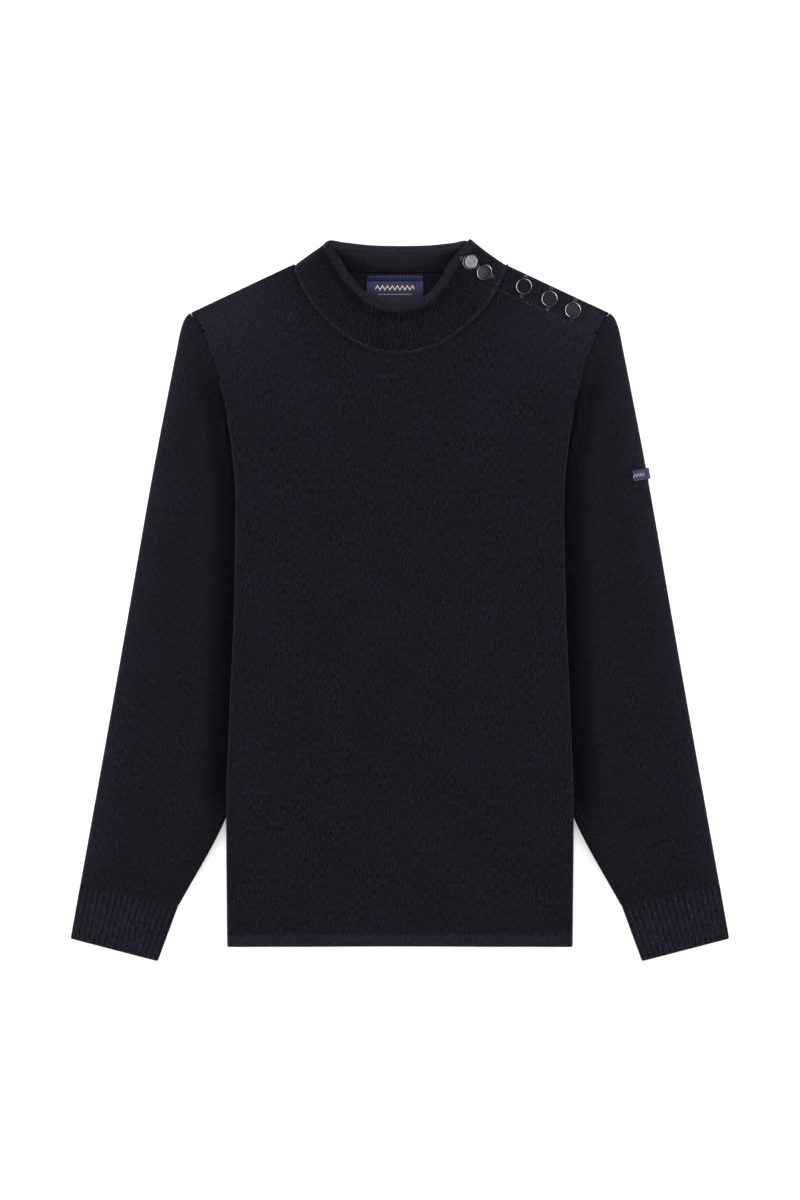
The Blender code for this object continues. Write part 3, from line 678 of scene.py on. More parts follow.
def puffed(x, y, side):
    """How far the sleeve's upper layer stands up: a soft crown between the body's edge, or its own inner
    one, and its outer edge, and creases on it."""
    own = np.where(y < SLEEVE_INNER[0].y, edge_at(SLEEVE_INNER, y), 0)
    inner = np.maximum(edge_at(BODY_EDGE, y), own)
    outer = edge_at(SLEEVE_OUTER, y)
    width = np.maximum(outer - inner, 1.0)
    share = np.clip((x - inner - CROWN_INSET) / (width - CROWN_INSET), 0, 1)
    crown = np.clip(1 - np.abs(2 * share - 1) ** CROWN_FLATNESS, 0, 1)
    height = np.clip(CROWN_RISE * width, 0, SLEEVE_CROWN)
    wrinkled = creased(SLEEVE_CREASES, x, y + (0 if side > 0 else MIRRORED_CREASES_LOWER))
    return crown * (height + wrinkled * smooth(width, *CREASED_WIDTHS))


def sleeve_painted_light(x, y, sideways):
    """Painted light and shade on the sleeve: painted light along its outer edge, a painted shadow beside
    the body's edge and painted shade on its round edges.
    """
    outer = 1 - smooth(edge_at(SLEEVE_OUTER, y) - x, 0.0, PAINTED_EDGE_LIGHT_WIDTH)
    painted_shadow = 1 - smooth(x - edge_at(BODY_EDGE, y), *PAINTED_SHADOW_SPAN)
    painted_shadow = painted_shadow * (1 - smooth(y, *PAINTED_SHADOW_TOP)) * smooth(y, *PAINTED_SHADOW_END)
    return PAINTED_EDGE_LIGHT * outer - PAINTED_SHADOW_DARKER * painted_shadow - EDGE_DARKER * sideways


def panel_painted_light(x, y, sideways, front):
    """Painted light and shade on a panel: painted light on the hem band and the shoulders, or inside the
    neck on the back, and painted shade round its folds.
    """
    upper = smooth(y, *SHOULDER_RISE) * smooth(np.abs(x), *SHOULDER_SPREAD) * SHOULDER_LIGHTER
    if not front:
        upper = smooth(y, *NECK_RISE) * (1 - smooth(np.abs(x), *SHOULDER_SPREAD)) * NECK_LIGHTER
    return HEM_LIGHTER * hem_share(y) + upper - FOLD_DARKER * sideways


def tube_rings(path, under, raised, lift):
    """Flattened rings of cloth along paths in plan: over the top, round the inner edge, back underneath
    and round the outer edge. Returns points, outward directions and rib heights."""
    across = unit(path[:, -1] - path[:, 0])[:, None]
    radius = LAYER / 2
    rounds = math.pi * np.arange(1, ROUND_COLUMNS) / ROUND_COLUMNS
    sine, cosine = np.sin(rounds)[:, None], np.cos(rounds)[:, None]
    count = len(path)

    def at(plan, rise, side_way, up):
        z = SLEEVE_ROUND + rise
        points = np.concatenate([plan, np.broadcast_to(z, plan.shape[:2] + (1,))], axis=2)
        vectors = np.concatenate([side_way, np.broadcast_to(up, plan.shape[:2] + (1,))], axis=2)
        return points, vectors

    flat = np.zeros_like(path)
    parts = [at(path, radius + lift[..., None], flat, 1.0)]
    parts.append(at(path[:, -1:] + across * radius * sine, radius * cosine, across * sine, cosine))
    parts.append(at(under[:, ::-1], -radius, np.zeros_like(under), -1.0))
    parts.append(at(path[:, :1] - across * radius * sine, -radius * cosine, -across * sine, -cosine))
    heights = [raised, np.zeros((count, parts[1][0].shape[1] + under.shape[1] + len(rounds)))]
    points = np.concatenate([part[0] for part in parts], axis=1)
    vectors = np.concatenate([part[1] for part in parts], axis=1)
    return points, vectors, np.concatenate(heights, axis=1)


def tube(node, rings, side, lighter, finish):
    """A tube of cloth through its rings, for +X, or mirrored where side is -1."""
    points, vectors, heights = rings
    round_it, down_it = lengths_along(points), lengths_along(points[:, 0])
    uv = np.stack([round_it, np.broadcast_to(-down_it[:, None], round_it.shape)], axis=-1)
    if side < 0:
        uv = uv + (MIRRORED_UV_SHIFT, 0.0)
    vectors = vectors * (side, 1, 1)
    surface = grid_surface(
        points * (side, 1, 1), vectors * (CLOTH / 2 + heights[..., None]), -vectors * CLOTH / 2, uv,
        lighter, wrap=True,
    )
    if side > 0:
        surface = surface._replace(faces=surface.faces[:, ::-1])
    return cloth_piece(node, surface, finish)


def sleeve(node, side):
    last = len(SLEEVE_RINGS) - 1
    rows = np.linspace(0, last, SLEEVE_ROWS)
    outer_y, inner_y, bend = through(SLEEVE_RINGS, rows).T
    path = across_sleeve(outer_y, inner_y) + armhole_path() * np.clip(bend, 0, 1)[:, None, None]
    at_cuff = smooth(rows, last - 0.5, last)
    ends = smooth(rows, 0.0, SLEEVE_TOP_SETTLES) * (1 - SLEEVE_END_FLATTER * at_cuff)
    lift = puffed(path[..., 0], path[..., 1], side) * ends[:, None]
    rings = tube_rings(path, path, np.zeros(path.shape[:2]), lift)
    sideways = np.linalg.norm(rings[1][..., :2], axis=-1)
    lighter = sleeve_painted_light(rings[0][..., 0], rings[0][..., 1], sideways)
    return tube(node, rings, side, lighter, "navy felted wool")


def cuff(node, side):
    columns = CUFF_RIBS * 6 + 1
    share = np.linspace(0, 1, CUFF_ROWS)
    outer, inner = (
        mix(np.array(top), np.array(end), share[:, None])
        for top, end in ((CUFF_TOP_OUTER, CUFF_END_OUTER), (CUFF_TOP_INNER, CUFF_END_INNER))
    )
    path = straight_path(outer, inner, columns)
    under = straight_path(outer, inner, CUFF_RIBS * 2)
    across = np.linspace(0, 1, columns)
    ribs = (0.5 - 0.5 * np.cos(2 * math.pi * CUFF_RIBS * across)) ** CUFF_RIB_SHARPNESS
    ends = smooth(share, 0.0, CUFF_ENDS) * (1 - smooth(share, 1.0 - CUFF_ENDS, 1.0))
    raised = CUFF_RIB_HEIGHT * ends[:, None] * ribs
    crown = CUFF_CROWN * np.sin(math.pi * across) ** 0.8 * (1 - 0.3 * share[:, None])
    rings = tube_rings(path, under, raised, crown)
    # Painted shade on the cuff's round edges, painted light on its top and painted shade in its rib
    # grooves, deepest towards the sleeve
    lighter = -EDGE_DARKER * np.linalg.norm(rings[1][..., :2], axis=-1)
    fading = 1.3 - 0.6 * share[:, None]
    lighter[:, :columns] = CUFF_LIGHTER - CUFF_GROOVE_DARKER * (1 - ribs) * fading
    return tube(node, rings, side, lighter, "navy ribbed wool")


def collar():
    places, length = even_places(4 * COLLAR_RIBS + 1)
    heights = np.concatenate([np.linspace(*span) for span in COLLAR_ROWS])
    place, height = np.meshgrid(places, heights)
    middle, normal = collar_surface(place, height)
    ribs = 0.5 - 0.5 * np.cos(0.5 * math.pi * np.arange(len(places)))
    rim = smooth(height, *COLLAR_RIM)
    ends = smooth(height, 0.02, 0.1) * (1 - COLLAR_RIM_SMOOTHER * rim)
    raised = COLLAR_RIB_HEIGHT * ribs * ends
    outward = normal * (COLLAR_CLOTH / 2 + raised + collar_roll(height))[..., None]
    inward = -normal * (COLLAR_CLOTH / 2 + COLLAR_INSIDE_RIBS * raised)[..., None]
    tall = np.linalg.norm(middle[-1] - middle[0], axis=1)
    along = np.broadcast_to(np.linspace(0, length, len(places)), place.shape)
    uv = np.stack([along, height * tall], axis=-1)
    # Painted light and shade on the collar: lighter on the rolled rim, the front end and the inside,
    # darker in the rib grooves and in a painted shadow under the rim; COLLAR_LIGHTER lightens all of it
    # evenly
    lighter = COLLAR_RIM_LIGHTER * rim - GROOVE_DARKER * (1 - ribs) * (1 - rim) * smooth(height, 0, 0.1)
    inside = smooth(place, RIGHT_FOLD_STATION, RIGHT_FOLD_STATION + 1)
    at_end = 1 - smooth(place, *END_LIT)
    lighter -= RIM_SHADE * smooth(height, *RIM_SHADED) * (1 - rim) * (1 - inside) * (1 - at_end)
    lighter += COLLAR_LIGHTER + COLLAR_INSIDE_LIGHTER * inside + END_LIGHTER * at_end * (1 - rim / 2)
    surface = grid_surface(middle, outward, inward, uv, lighter)
    return cloth_piece(
        "collar", surface, "navy ribbed wool"
    )


def flat_strip(node, plan, z, thickness, uv, finish):
    """A level strip of cloth from a grid of points in plan."""
    points = np.concatenate([plan, np.full((*plan.shape[:2], 1), z)], axis=2)
    up = np.broadcast_to(UP * thickness / 2, points.shape)
    return cloth_piece(node, grid_surface(points, up, -up, uv), finish)


def button_stand():
    half = STAND_CLOTH / 2
    off = np.linspace(STAND_INSET + half, STAND_WIDTH - half, 9)[:, None, None]
    x = np.linspace(STAND_FROM_X, STAND_TO_X, 26)[None, :, None]
    plan = beside_shoulder(x, off)
    return flat_strip(
        "button_stand", plan, LAYER + half, STAND_CLOTH, plan, "navy felted wool",
    )


# Labels

def neck_label():
    half = LABEL_CLOTH / 2
    reach = NECK_LABEL_WIDTH / 2 - half
    x = np.linspace(-reach, reach, 40)
    y = np.linspace(-half, half - NECK_LABEL_LENGTH, 26)
    uv = np.stack(np.meshgrid(x, y), axis=-1)
    plan = uv + (NECK_LABEL_X, NECK_LABEL_TOP_Y)
    return flat_strip(
        "neck_label", plan, LAYER + half, LABEL_CLOTH, uv, "navy woven ribbon",
    )


def sleeve_label():
    """A tab over the sleeve's outer edge: flat on the top, then round the edge with a small loop."""
    edge = edge_point(SLEEVE_OUTER, SLEEVE_LABEL_Y)
    down = unit(edge_point(SLEEVE_OUTER, SLEEVE_LABEL_Y - SLEEVE_LABEL_WIDTH) - edge)
    out = np.array((-down[1], down[0]))
    half = LABEL_CLOTH / 2
    drop = SLEEVE_ROUND + GAP + half
    centre = edge - out * SLEEVE_ROUND
    angles = np.linspace(0.0, math.radians(SLEEVE_LABEL_TURN), 20)
    flat = np.linspace(SLEEVE_ROUND - SLEEVE_LABEL_REACH, 0, 12)[:-1]
    reach = np.concatenate([flat, SLEEVE_LABEL_LOOP * np.sin(angles)])
    inside = centre + out * flat[:, None]
    crown = puffed(inside[:, 0], inside[:, 1], 1)
    rise = np.concatenate([drop + crown, drop * np.cos(angles)])
    turn = np.concatenate([flat * 0, angles])
    off = np.linspace(-SLEEVE_LABEL_WIDTH / 2 + half, SLEEVE_LABEL_WIDTH / 2 - half, 10)[:, None]
    grid = np.broadcast_arrays(off, reach, rise, turn)
    offs, reaches, rises, turns = (part[..., None] for part in grid)
    plan = centre + out * reaches + down * offs
    points = np.concatenate([plan, SLEEVE_ROUND + rises], axis=-1)
    vectors = np.concatenate([out * np.sin(turns), np.cos(turns)], axis=-1) * half
    length = lengths_along(points[0])
    uv = np.stack([np.broadcast_to(length, turns.shape[:2]), -offs[..., 0]], axis=-1)
    surface = grid_surface(points, vectors, -vectors, uv)
    return cloth_piece("sleeve_label", surface, "navy woven tab")


# Buttons

# The turned profile, row by row from the foot: radius, height and the share of painted highlight there,
# most on the rim's top
BUTTON_TURNS = table(
    "radius height worn",
    (7.0, 1.05, 0.0), (7.6, 1.3, 0.0), (7.9, 1.8, 0.1), (7.9, 2.6, 0.4), (7.8, 3.0, 0.9),
    (7.65, 3.2, 1.0), (7.45, 3.2, 1.0), (7.3, 2.95, 0.3), (7.0, 2.65, 0.0), (6.5, 2.55, 0.0),
    (6.0, 2.45, 0.0), (5.4, 2.42, 0.0), (4.8, 2.38, 0.0), (3.6, 2.32, 0.0), (1.2, 2.28, 0.0),
    (0.3, 2.28, 0.0),
)
BUTTON_FOOT = 2.2
BUTTON_FOOT_HEIGHT = 0.9
BUTTON_SIDES = 48
BUTTON_ABOVE_COLLAR = 0.5
DISH_RADIUS = (6.0, 6.7)
# Painted highlights on the rim: the way round each lies in degrees and how far it spreads, and the share
# painted all round
RIM_GLINTS = table("turn spread", (184.0, 58.0), (30.0, 46.0))
RIM_PLAIN = 0.12


def button_shape():
    """A disc turned on its foot: a thin raised rim round a shallow dish."""
    bpy.ops.object.select_all(action="DESELECT")
    radius, height = BUTTON_FOOT, BUTTON_FOOT_HEIGHT
    bpy.ops.mesh.primitive_cylinder_add(
        vertices=BUTTON_SIDES, radius=radius * MM, depth=height * MM, calc_uvs=False,
        location=(0, 0, height / 2 * MM),
    )
    obj = bpy.context.object
    bpy.ops.object.transform_apply(location=True)
    bpy.ops.object.mode_set(mode="EDIT")
    bpy.ops.mesh.select_all(action="DESELECT")
    bpy.ops.object.mode_set(mode="OBJECT")
    for face in obj.data.polygons:
        face.select = face.normal.z > 0.9
    bpy.ops.object.mode_set(mode="EDIT")
    bpy.ops.mesh.select_mode(type="FACE")
    for row in BUTTON_TURNS:
        bpy.ops.mesh.extrude_region_move(
            TRANSFORM_OT_translate={"value": (0, 0, (row.height - height) * MM)}
        )
        share = row.radius / radius
        bpy.ops.transform.resize(value=(share, share, 1), center_override=(0, 0, row.height * MM))
        radius, height = row.radius, row.height
    bpy.ops.object.mode_set(mode="OBJECT")
    obj.data.shade_smooth()
    # Each point takes the painted highlight share of the profile row nearest to it
    worn = obj.data.attributes.new("worn", "FLOAT", "POINT")
    radii = [row.radius for row in BUTTON_TURNS]
    for number, vertex in enumerate(obj.data.vertices):
        away = math.hypot(vertex.co.x, vertex.co.y) / MM
        nearest = min(
            range(len(radii)),
            key=lambda k: abs(radii[k] - away) + abs(BUTTON_TURNS[k].height - vertex.co.z / MM),
        )
        worn.data[number].value = BUTTON_TURNS[nearest].worn
    return obj


def square_to(normal, spot):
    """Matrix that stands a shape made at the origin on a spot, square to a direction."""
    turn = Vector((0, 0, 1)).rotation_difference(Vector(normal)).to_matrix().to_4x4()
    return Matrix.Translation(Vector([float(v) * MM for v in spot])) @ turn


def collar_front_grid():
    """Places near the collar's front end: middle points, outward normals and how far the rim rolls."""
    place, height = np.meshgrid(np.linspace(0, 2, 161), np.linspace(0.1, 0.95, 137))
    return *collar_surface(place, height), collar_roll(height)


def collar_spot(grid, x, y):
    """Where the collar's middle surface lies over a point, with its normal and the rim's roll there."""
    middle, normal, roll = grid
    off = np.hypot(middle[..., 0] - x, middle[..., 1] - y)
    nearest = np.unravel_index(np.argmin(off), off.shape)
    return middle[nearest], normal[nearest], roll[nearest]


def button_spots():
    """Spot, cloth's normal and the button's own row, for each of the five."""
    spots = []
    grid = collar_front_grid()
    for row in COLLAR_BUTTONS:
        middle, normal, _ = collar_spot(grid, row.x, row.y)
        lift = COLLAR_CLOTH / 2 + BUTTON_ABOVE_COLLAR + GAP
        spots.append((middle + normal * lift, normal, row))
    for row in SHOULDER_BUTTONS:
        z = level(row.x, row.y, True) + CLOTH / 2 + GAP
        spots.append((np.array([row.x, row.y, z]), UP, row))
    return spots


def lit_rim(turns):
    """Share of the rim's painted highlight that shows, by the way round in degrees."""
    away = [np.abs((turns - glint.turn + 180) % 360 - 180) / glint.spread for glint in RIM_GLINTS]
    return RIM_PLAIN + (1 - RIM_PLAIN) * np.clip(1 - np.min(away, axis=0) ** 2, 0, 1)


def buttons():
    pattern = button_shape()
    corners = np.array([vertex.co for vertex in pattern.data.vertices]) / MM
    turns = np.degrees(np.arctan2(corners[:, 1], corners[:, 0]))
    rim_highlight_shares = np.zeros(len(corners))
    pattern.data.attributes["worn"].data.foreach_get("value", rim_highlight_shares)
    for number, (spot, normal, row) in enumerate(button_spots(), start=1):
        obj = new_object(f"turned_button_{number}", pattern.data.copy())
        tipped = normal + np.radians([row.tip_x, row.tip_y, 0.0])
        obj.data.transform(square_to(unit(tipped), spot))
        # Painted highlights round the rim, strongest where the glints lie
        obj.data.attributes["worn"].data.foreach_set("value", row.rim * rim_highlight_shares * lit_rim(turns))
        # A painted reflection on the face, over a disc moved off the centre by the shift column
        dish = 1 - smooth(np.hypot(corners[:, 0] - row.shift, corners[:, 1]), *DISH_RADIUS)
        polish = obj.data.attributes.new("polish", "FLOAT", "POINT")
        polish.data.foreach_set("value", row.polish * dish)
        material_slot(obj, "dark satin metal")
        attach(obj, "root")
        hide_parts(f"button_{number}")
    bpy.data.objects.remove(pattern)


# Sewing

STITCH_FROM_X = 92.0
STITCH_TO_X = 182.0
BUTTONHOLE_LENGTH = 22.6
BUTTONHOLE_WIDTH = 2.6
BUTTONHOLE_PROUD = 0.3
BUTTONHOLE_TURN = 1.35
BUTTONHOLE_ALONG_COLLAR = (0.85, -0.52, 0.0)
BUTTONHOLE_ACROSS_BAND = (0.18, 0.98, 0.0)
COLLAR_STITCH_HEIGHT = 0.045
LINKING_DEPTH = 0.55
LINKING_ABOVE_FLOOR = 1.35
CUFF_LINKING_DEPTH = 0.4
ARMHOLE_RISE = 0.5
ARMHOLE_RISE_ENDS = (184.0, 214.0)
Stitch = namedtuple("Stitch", "pitch length width slant")
COLLAR_STITCH = Stitch(3.5, 2.0, 0.45, 0.3)
BAND_STITCH = Stitch(3.6, 2.1, 0.62, 0.1)
LABEL_STITCH = Stitch(3.4, 2.0, 0.45, 0.12)
LINKING_STITCH = Stitch(2.3, 3.2, 1.35, 0.2)
BUTTONHOLE_STITCH = Stitch(0.9, 1.5, 0.8, 0.15)
LINKING_BULGE = 1.1
LABEL_STITCH_INSET = (2.0, 2.6)


def thread_shape():
    """A short fat stitch along +X, one unit long and one unit wide."""
    bpy.ops.object.select_all(action="DESELECT")
    bpy.ops.mesh.primitive_uv_sphere_add(segments=8, ring_count=5, radius=0.5, location=(0, 0, 0))
    obj = bpy.context.object
    bpy.ops.object.mode_set(mode="EDIT")
    bpy.ops.mesh.select_all(action="SELECT")
    bpy.ops.transform.rotate(value=math.pi / 2, orient_axis="Y", center_override=(0, 0, 0))
    bpy.ops.object.mode_set(mode="OBJECT")
    for vertex in obj.data.vertices:
        vertex.co.x = math.copysign(abs(vertex.co.x * 2) ** 0.6 / 2, vertex.co.x)
    return obj


def stitch_row(line, normals, stitch):
    """Evenly spaced stitches on a line, that slant to one side and the other by turns: their spots,
    directions, normals and sizes."""
    lengths = lengths_along(line)
    at = np.arange(stitch.pitch / 2, lengths[-1], stitch.pitch)

    def read(values, where):
        return np.stack([np.interp(where, lengths, values[:, k]) for k in range(3)], axis=1)

    along = unit(read(line, at + 0.3) - read(line, at - 0.3))
    normal = unit(read(np.broadcast_to(normals, line.shape), at))
    turns = np.where(np.arange(len(at)) % 2, stitch.slant, -stitch.slant)[:, None]
    along = along + unit(np.cross(normal, along)) * turns
    return read(line, at), along, normal, np.tile(stitch[1:3], (len(at), 1))


def joined_stitches(name, rows, finish):
    """Copies of the stitch for rows of spots, directions, normals and sizes, joined in one mesh."""
    spots, alongs, normals, sizes = (np.concatenate(part) for part in zip(*rows))
    shape = bpy.data.objects["stitch pattern"].data
    corners = np.array([vertex.co for vertex in shape.vertices])
    alongs, normals = unit(alongs), unit(normals)
    across = unit(np.cross(normals, alongs))
    normals = np.cross(alongs, across)
    points = (
        spots[:, None]
        + corners[None, :, :1] * (alongs * sizes[:, :1])[:, None]
        + corners[None, :, 1:2] * (across * sizes[:, 1:])[:, None]
        + corners[None, :, 2:] * (normals * sizes[:, 1:])[:, None]
    )
    faces = [
        tuple(corner + copy * len(corners) for corner in face.vertices)
        for copy in range(len(spots))
        for face in shape.polygons
    ]
    mesh = bpy.data.meshes.new(name)
    mesh.from_pydata((points.reshape(-1, 3) * MM).tolist(), [], faces)
    mesh.shade_smooth()
    obj = new_object(name, mesh)
    material_slot(obj, finish)
    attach(obj, "root")


def on_panel(plan, front, above):
    """Points on the front's or the back's upper face, or a little above or below it."""
    return np.column_stack([plan, level(plan[:, 0], plan[:, 1], front) + CLOTH / 2 + above])


def collar_stitching():
    """One thin row of slanting stitches just above the foot of the collar."""
    place = np.linspace(0.02, LAST_STATION - 0.02, 900)
    middle, normal = collar_surface(place, np.full(place.shape, COLLAR_STITCH_HEIGHT))
    line = middle + normal * (COLLAR_CLOTH / 2 + 0.1)
    joined_stitches("collar_stitching", [stitch_row(line, normal, COLLAR_STITCH)], "seam thread")


def band_stitching():
    """One row of stitches along the lower edge of the shoulder band."""
    x = np.linspace(STITCH_FROM_X, STITCH_TO_X, 60)[:, None]
    wander = 0.4 * np.sin(x / 9) + 0.3 * np.sin(x / 3.7)
    line = on_panel(beside_shoulder(x, BAND_WIDTH + wander), True, 0.05)
    joined_stitches("band_stitching", [stitch_row(line, UP, BAND_STITCH)], "band thread")


def cuff_groove():
    """The ring between the sleeve and its cuff, for +X, and its outward directions."""
    end = SLEEVE_RINGS[-1]
    outer = mix(edge_point(SLEEVE_OUTER, end.outer_y), CUFF_TOP_OUTER, 0.5)
    inner = mix(edge_point(SLEEVE_INNER, end.inner_y), CUFF_TOP_INNER, 0.5)
    path = straight_path(outer[None], inner[None], 40)
    crown = CUFF_CROWN * np.sin(math.pi * np.linspace(0, 1, 40))[None]
    ring, away, _ = tube_rings(path, path, crown * 0, crown)
    ring = ring[0] + away[0] * (CLOTH / 2 - CUFF_LINKING_DEPTH)
    ring[:, 2] = np.maximum(ring[:, 2], LINKING_STITCH.width / 2)
    return np.concatenate([ring, ring[:1]]), np.concatenate([away[0], away[0, :1]])


def linking():
    """Dark yarn that joins the pieces: a chain in the groove of both armholes, cuffs and the neck."""
    rows, cuff_rows = [], []
    top = SLEEVE_ROUND + LAYER / 2 + CLOTH / 2 - LINKING_DEPTH
    y = np.linspace(SHOULDER_TIP_Y - 1.0, SLEEVE_LIFT_WHOLE_Y - 4, 90)
    x = edge_at(BODY_EDGE, y)
    ring, away = cuff_groove()
    for side in (1, -1):
        for z, facing in ((top, UP), (LINKING_ABOVE_FLOOR, -UP)):
            rise = ARMHOLE_RISE * (1 - smooth(y, *ARMHOLE_RISE_ENDS)) * facing[2]
            line = np.column_stack([side * x, y, z + np.maximum(rise, 0)])
            row = stitch_row(line, facing, LINKING_STITCH)
            row[3][:, 1] += LINKING_BULGE * (1 - smooth(np.arange(len(row[3])), 0, 3))
            rows.append(row)
        cuff_rows.append(stitch_row(ring * (side, 1, 1), away * (side, 1, 1), LINKING_STITCH))
    place = np.linspace(0.05, RIGHT_FOLD_STATION - 0.05, 400)
    front_plan = mix(collar_base(place)[:, :2], neck_edge(place), 0.5)
    back_plan = back_neck(np.linspace(-1.0, 1.0, 120)) + (0.0, CLOTH / 2 + 0.25)
    for plan, front in ((front_plan, True), (back_plan, False)):
        rows.append(stitch_row(on_panel(plan, front, -LINKING_DEPTH), UP, LINKING_STITCH))
    joined_stitches("linking_yarn", rows, "linking yarn")
    joined_stitches("cuff_linking_yarn", cuff_rows, "wool yarn")


def buttonholes():
    """Each one a ring of close stitches round a slit: along the collar's edge, or across the band."""
    grid = collar_front_grid()
    half_width = BUTTONHOLE_WIDTH / 2
    straight = BUTTONHOLE_LENGTH / 2 - half_width
    steps = np.arange(-straight, straight, BUTTONHOLE_STITCH.pitch)
    turns = np.linspace(-BUTTONHOLE_TURN, BUTTONHOLE_TURN, 7)
    spots, alongs, normals = [], [], []
    for number, (spot, normal, _) in enumerate(button_spots()):
        on_collar = number < len(COLLAR_BUTTONS)
        way = np.array(BUTTONHOLE_ALONG_COLLAR if on_collar else BUTTONHOLE_ACROSS_BAND)
        way = unit(way - normal * np.dot(way, normal))
        side = np.cross(normal, way)
        base = spot - normal * (GAP + 0.1)
        for end in (-1, 1):
            outs = [way * math.cos(turn) * end + side * math.sin(turn) for turn in turns]
            ring = [base + way * step + side * end * half_width for step in steps]
            ring += [base + way * straight * end + out * half_width for out in outs]
            alongs += [side + way * BUTTONHOLE_STITCH.slant] * len(steps) + outs
            for place in ring:
                facing = normal
                if on_collar:
                    middle, facing, roll = collar_spot(grid, *place[:2])
                    proud = max(COLLAR_RIB_HEIGHT, roll + BUTTONHOLE_PROUD)
                    place = middle + facing * (COLLAR_CLOTH / 2 + proud)
                spots.append(place)
                normals.append(facing)
    sizes = np.tile(BUTTONHOLE_STITCH[1:3], (len(spots), 1))
    row = (np.array(spots), np.array(alongs), np.array(normals), sizes)
    joined_stitches("buttonholes", [row], "buttonhole thread")


def label_stitching():
    """Pale stitches along the top of the neck label."""
    sideways, down = LABEL_STITCH_INSET
    reach = NECK_LABEL_WIDTH / 2 - sideways
    y, z = NECK_LABEL_TOP_Y - down, LAYER + LABEL_CLOTH
    line = np.array([(NECK_LABEL_X + end * reach, y, z) for end in (-1, 1)])
    joined_stitches("label_stitching", [stitch_row(line, UP, LABEL_STITCH)], "pale thread")


# Materials

NAVY_WOOL = (0.0054, 0.0050, 0.0082)
NAVY_RIBS = (0.0064, 0.0060, 0.0095)
SHEEN_TINT = (0.72, 0.7, 1.0, 1.0)
METAL_DARK = (0.0096, 0.0096, 0.0118)
# The colour of the painted highlights and reflections on the buttons
METAL_HIGHLIGHT = (0.78, 0.79, 0.82)
NAVY_RIBBON = (0.042, 0.045, 0.125)
# The neck label's colour where painted shade darkens its lower end
SHADED_RIBBON = (0.022, 0.021, 0.042)
PALE_RIBBON = (0.016, 0.016, 0.044)
LINE_BLUE = (0.004, 0.005, 0.03)
OCHRE = (0.66, 0.53, 0.34)
PALE_GREY = (0.3, 0.31, 0.34)
WHITE = (1.0, 1.0, 1.0, 1.0)
Line = namedtuple("Line", "centre half")
LABEL_BAND = Line(-3.0, 3.2)
LABEL_BORDER = Line(-6.6, 0.5)
LABEL_DOTS = Line(-20.0, 0.5)
LABEL_PAINTED_SHADE = (-10.0, -21.0)
DOT_PITCH = 2.6
DOT_HALF = 0.7
DOTS_REACH = 17.0
TAB_BORDER = Line(5.2, 0.5)
Zigzag = namedtuple("Zigzag", "centre pitch rise half reach")
LABEL_ZIGZAG = Zigzag(-13.5, 5.0, 4.2, 0.95, 19.5)
TAB_ZIGZAG = Zigzag(0.0, 3.2, 3.0, 0.55, 12.5)
THREAD_SOFTNESS = 0.15
WARP_PITCH = 0.55
WEFT_PITCH = 0.4
FLOOR_GLOW = 0.12
WORLD_LIGHT = 0.45
WOOLS = table(
    "name colour pitch wales fibres sheen",
    ("navy felted wool", NAVY_WOOL, 2.3, 0.8, 1.0, 0.06),
    ("navy ribbed wool", NAVY_RIBS, 1.4, 0.5, 1.2, 0.06),
)
THREADS = table(
    "name colour sheen worn_to bright",
    ("linking yarn", (0.0016, 0.0015, 0.0024), 0.0, 1.0, 1.0),
    ("wool yarn", (0.0062, 0.0058, 0.0095), 0.0, 1.0, 1.0),
    ("seam thread", (0.045, 0.044, 0.056), 0.1, 0.3, 1.9),
    ("band thread", (0.03, 0.029, 0.038), 0.05, 0.15, 2.0),
    ("buttonhole thread", (0.06, 0.059, 0.072), 0.05, 0.55, 1.5),
    ("pale thread", (0.3, 0.31, 0.36), 0.15, 1.0, 1.0),
)


def new_material(name, roughness):
    made = bpy.data.materials.new(name)
    made.use_nodes = True
    tree = made.node_tree
    return tree, filled(tree, tree.nodes["Principled BSDF"], Roughness=roughness)


def feed(tree, value, socket):
    """Sets a socket to a plain value, or from another node's output."""
    if isinstance(value, bpy.types.NodeSocket):
        tree.links.new(value, socket)
    else:
        socket.default_value = value


def filled(tree, node, **values):
    """A node with its named sockets set. An underscore in a name stands for a space."""
    for name, value in values.items():
        feed(tree, value, node.inputs[name.replace("_", " ")])
    return node


def placed(tree, kind, **values):
    return filled(tree, tree.nodes.new(f"ShaderNode{kind}"), **values)


def math_node(tree, operation, *values):
    node = placed(tree, "Math")
    node.operation = operation
    for value, socket in zip(values, node.inputs):
        feed(tree, value, socket)
    return node.outputs[0]


def noise(tree, vector, scale, detail=2.0, roughness=0.5):
    values = {"Vector": vector, "Scale": scale, "Detail": detail, "Roughness": roughness}
    return placed(tree, "TexNoise", **values).outputs[0]


def stretched(tree, vector, scale):
    return placed(tree, "Mapping", Vector=vector, Scale=scale).outputs[0]


def ranged(tree, value, low, high, to_low=0.0, to_high=1.0):
    limits = {"From Min": low, "From Max": high, "To Min": to_low, "To Max": to_high}
    return placed(tree, "MapRange", Value=value, **limits).outputs[0]


def scaled(tree, vector, amount):
    """A vector or colour times an amount, where each is a value or another node's output."""
    node = placed(tree, "VectorMath")
    node.operation = "SCALE"
    feed(tree, vector, node.inputs[0])
    return filled(tree, node, Scale=amount).outputs[0]


def over(tree, below, mask, colour):
    """A colour over what is below it, as far as a mask shows it."""
    node = placed(tree, "Mix")
    node.data_type = "RGBA"
    below = (*below, 1.0) if isinstance(below, tuple) else below
    return filled(tree, node, A=below, B=(*colour, 1.0), Factor=mask).outputs["Result"]


def cloth_map(tree):
    node = placed(tree, "UVMap")
    node.uv_map = "cloth"
    return node.outputs[0]


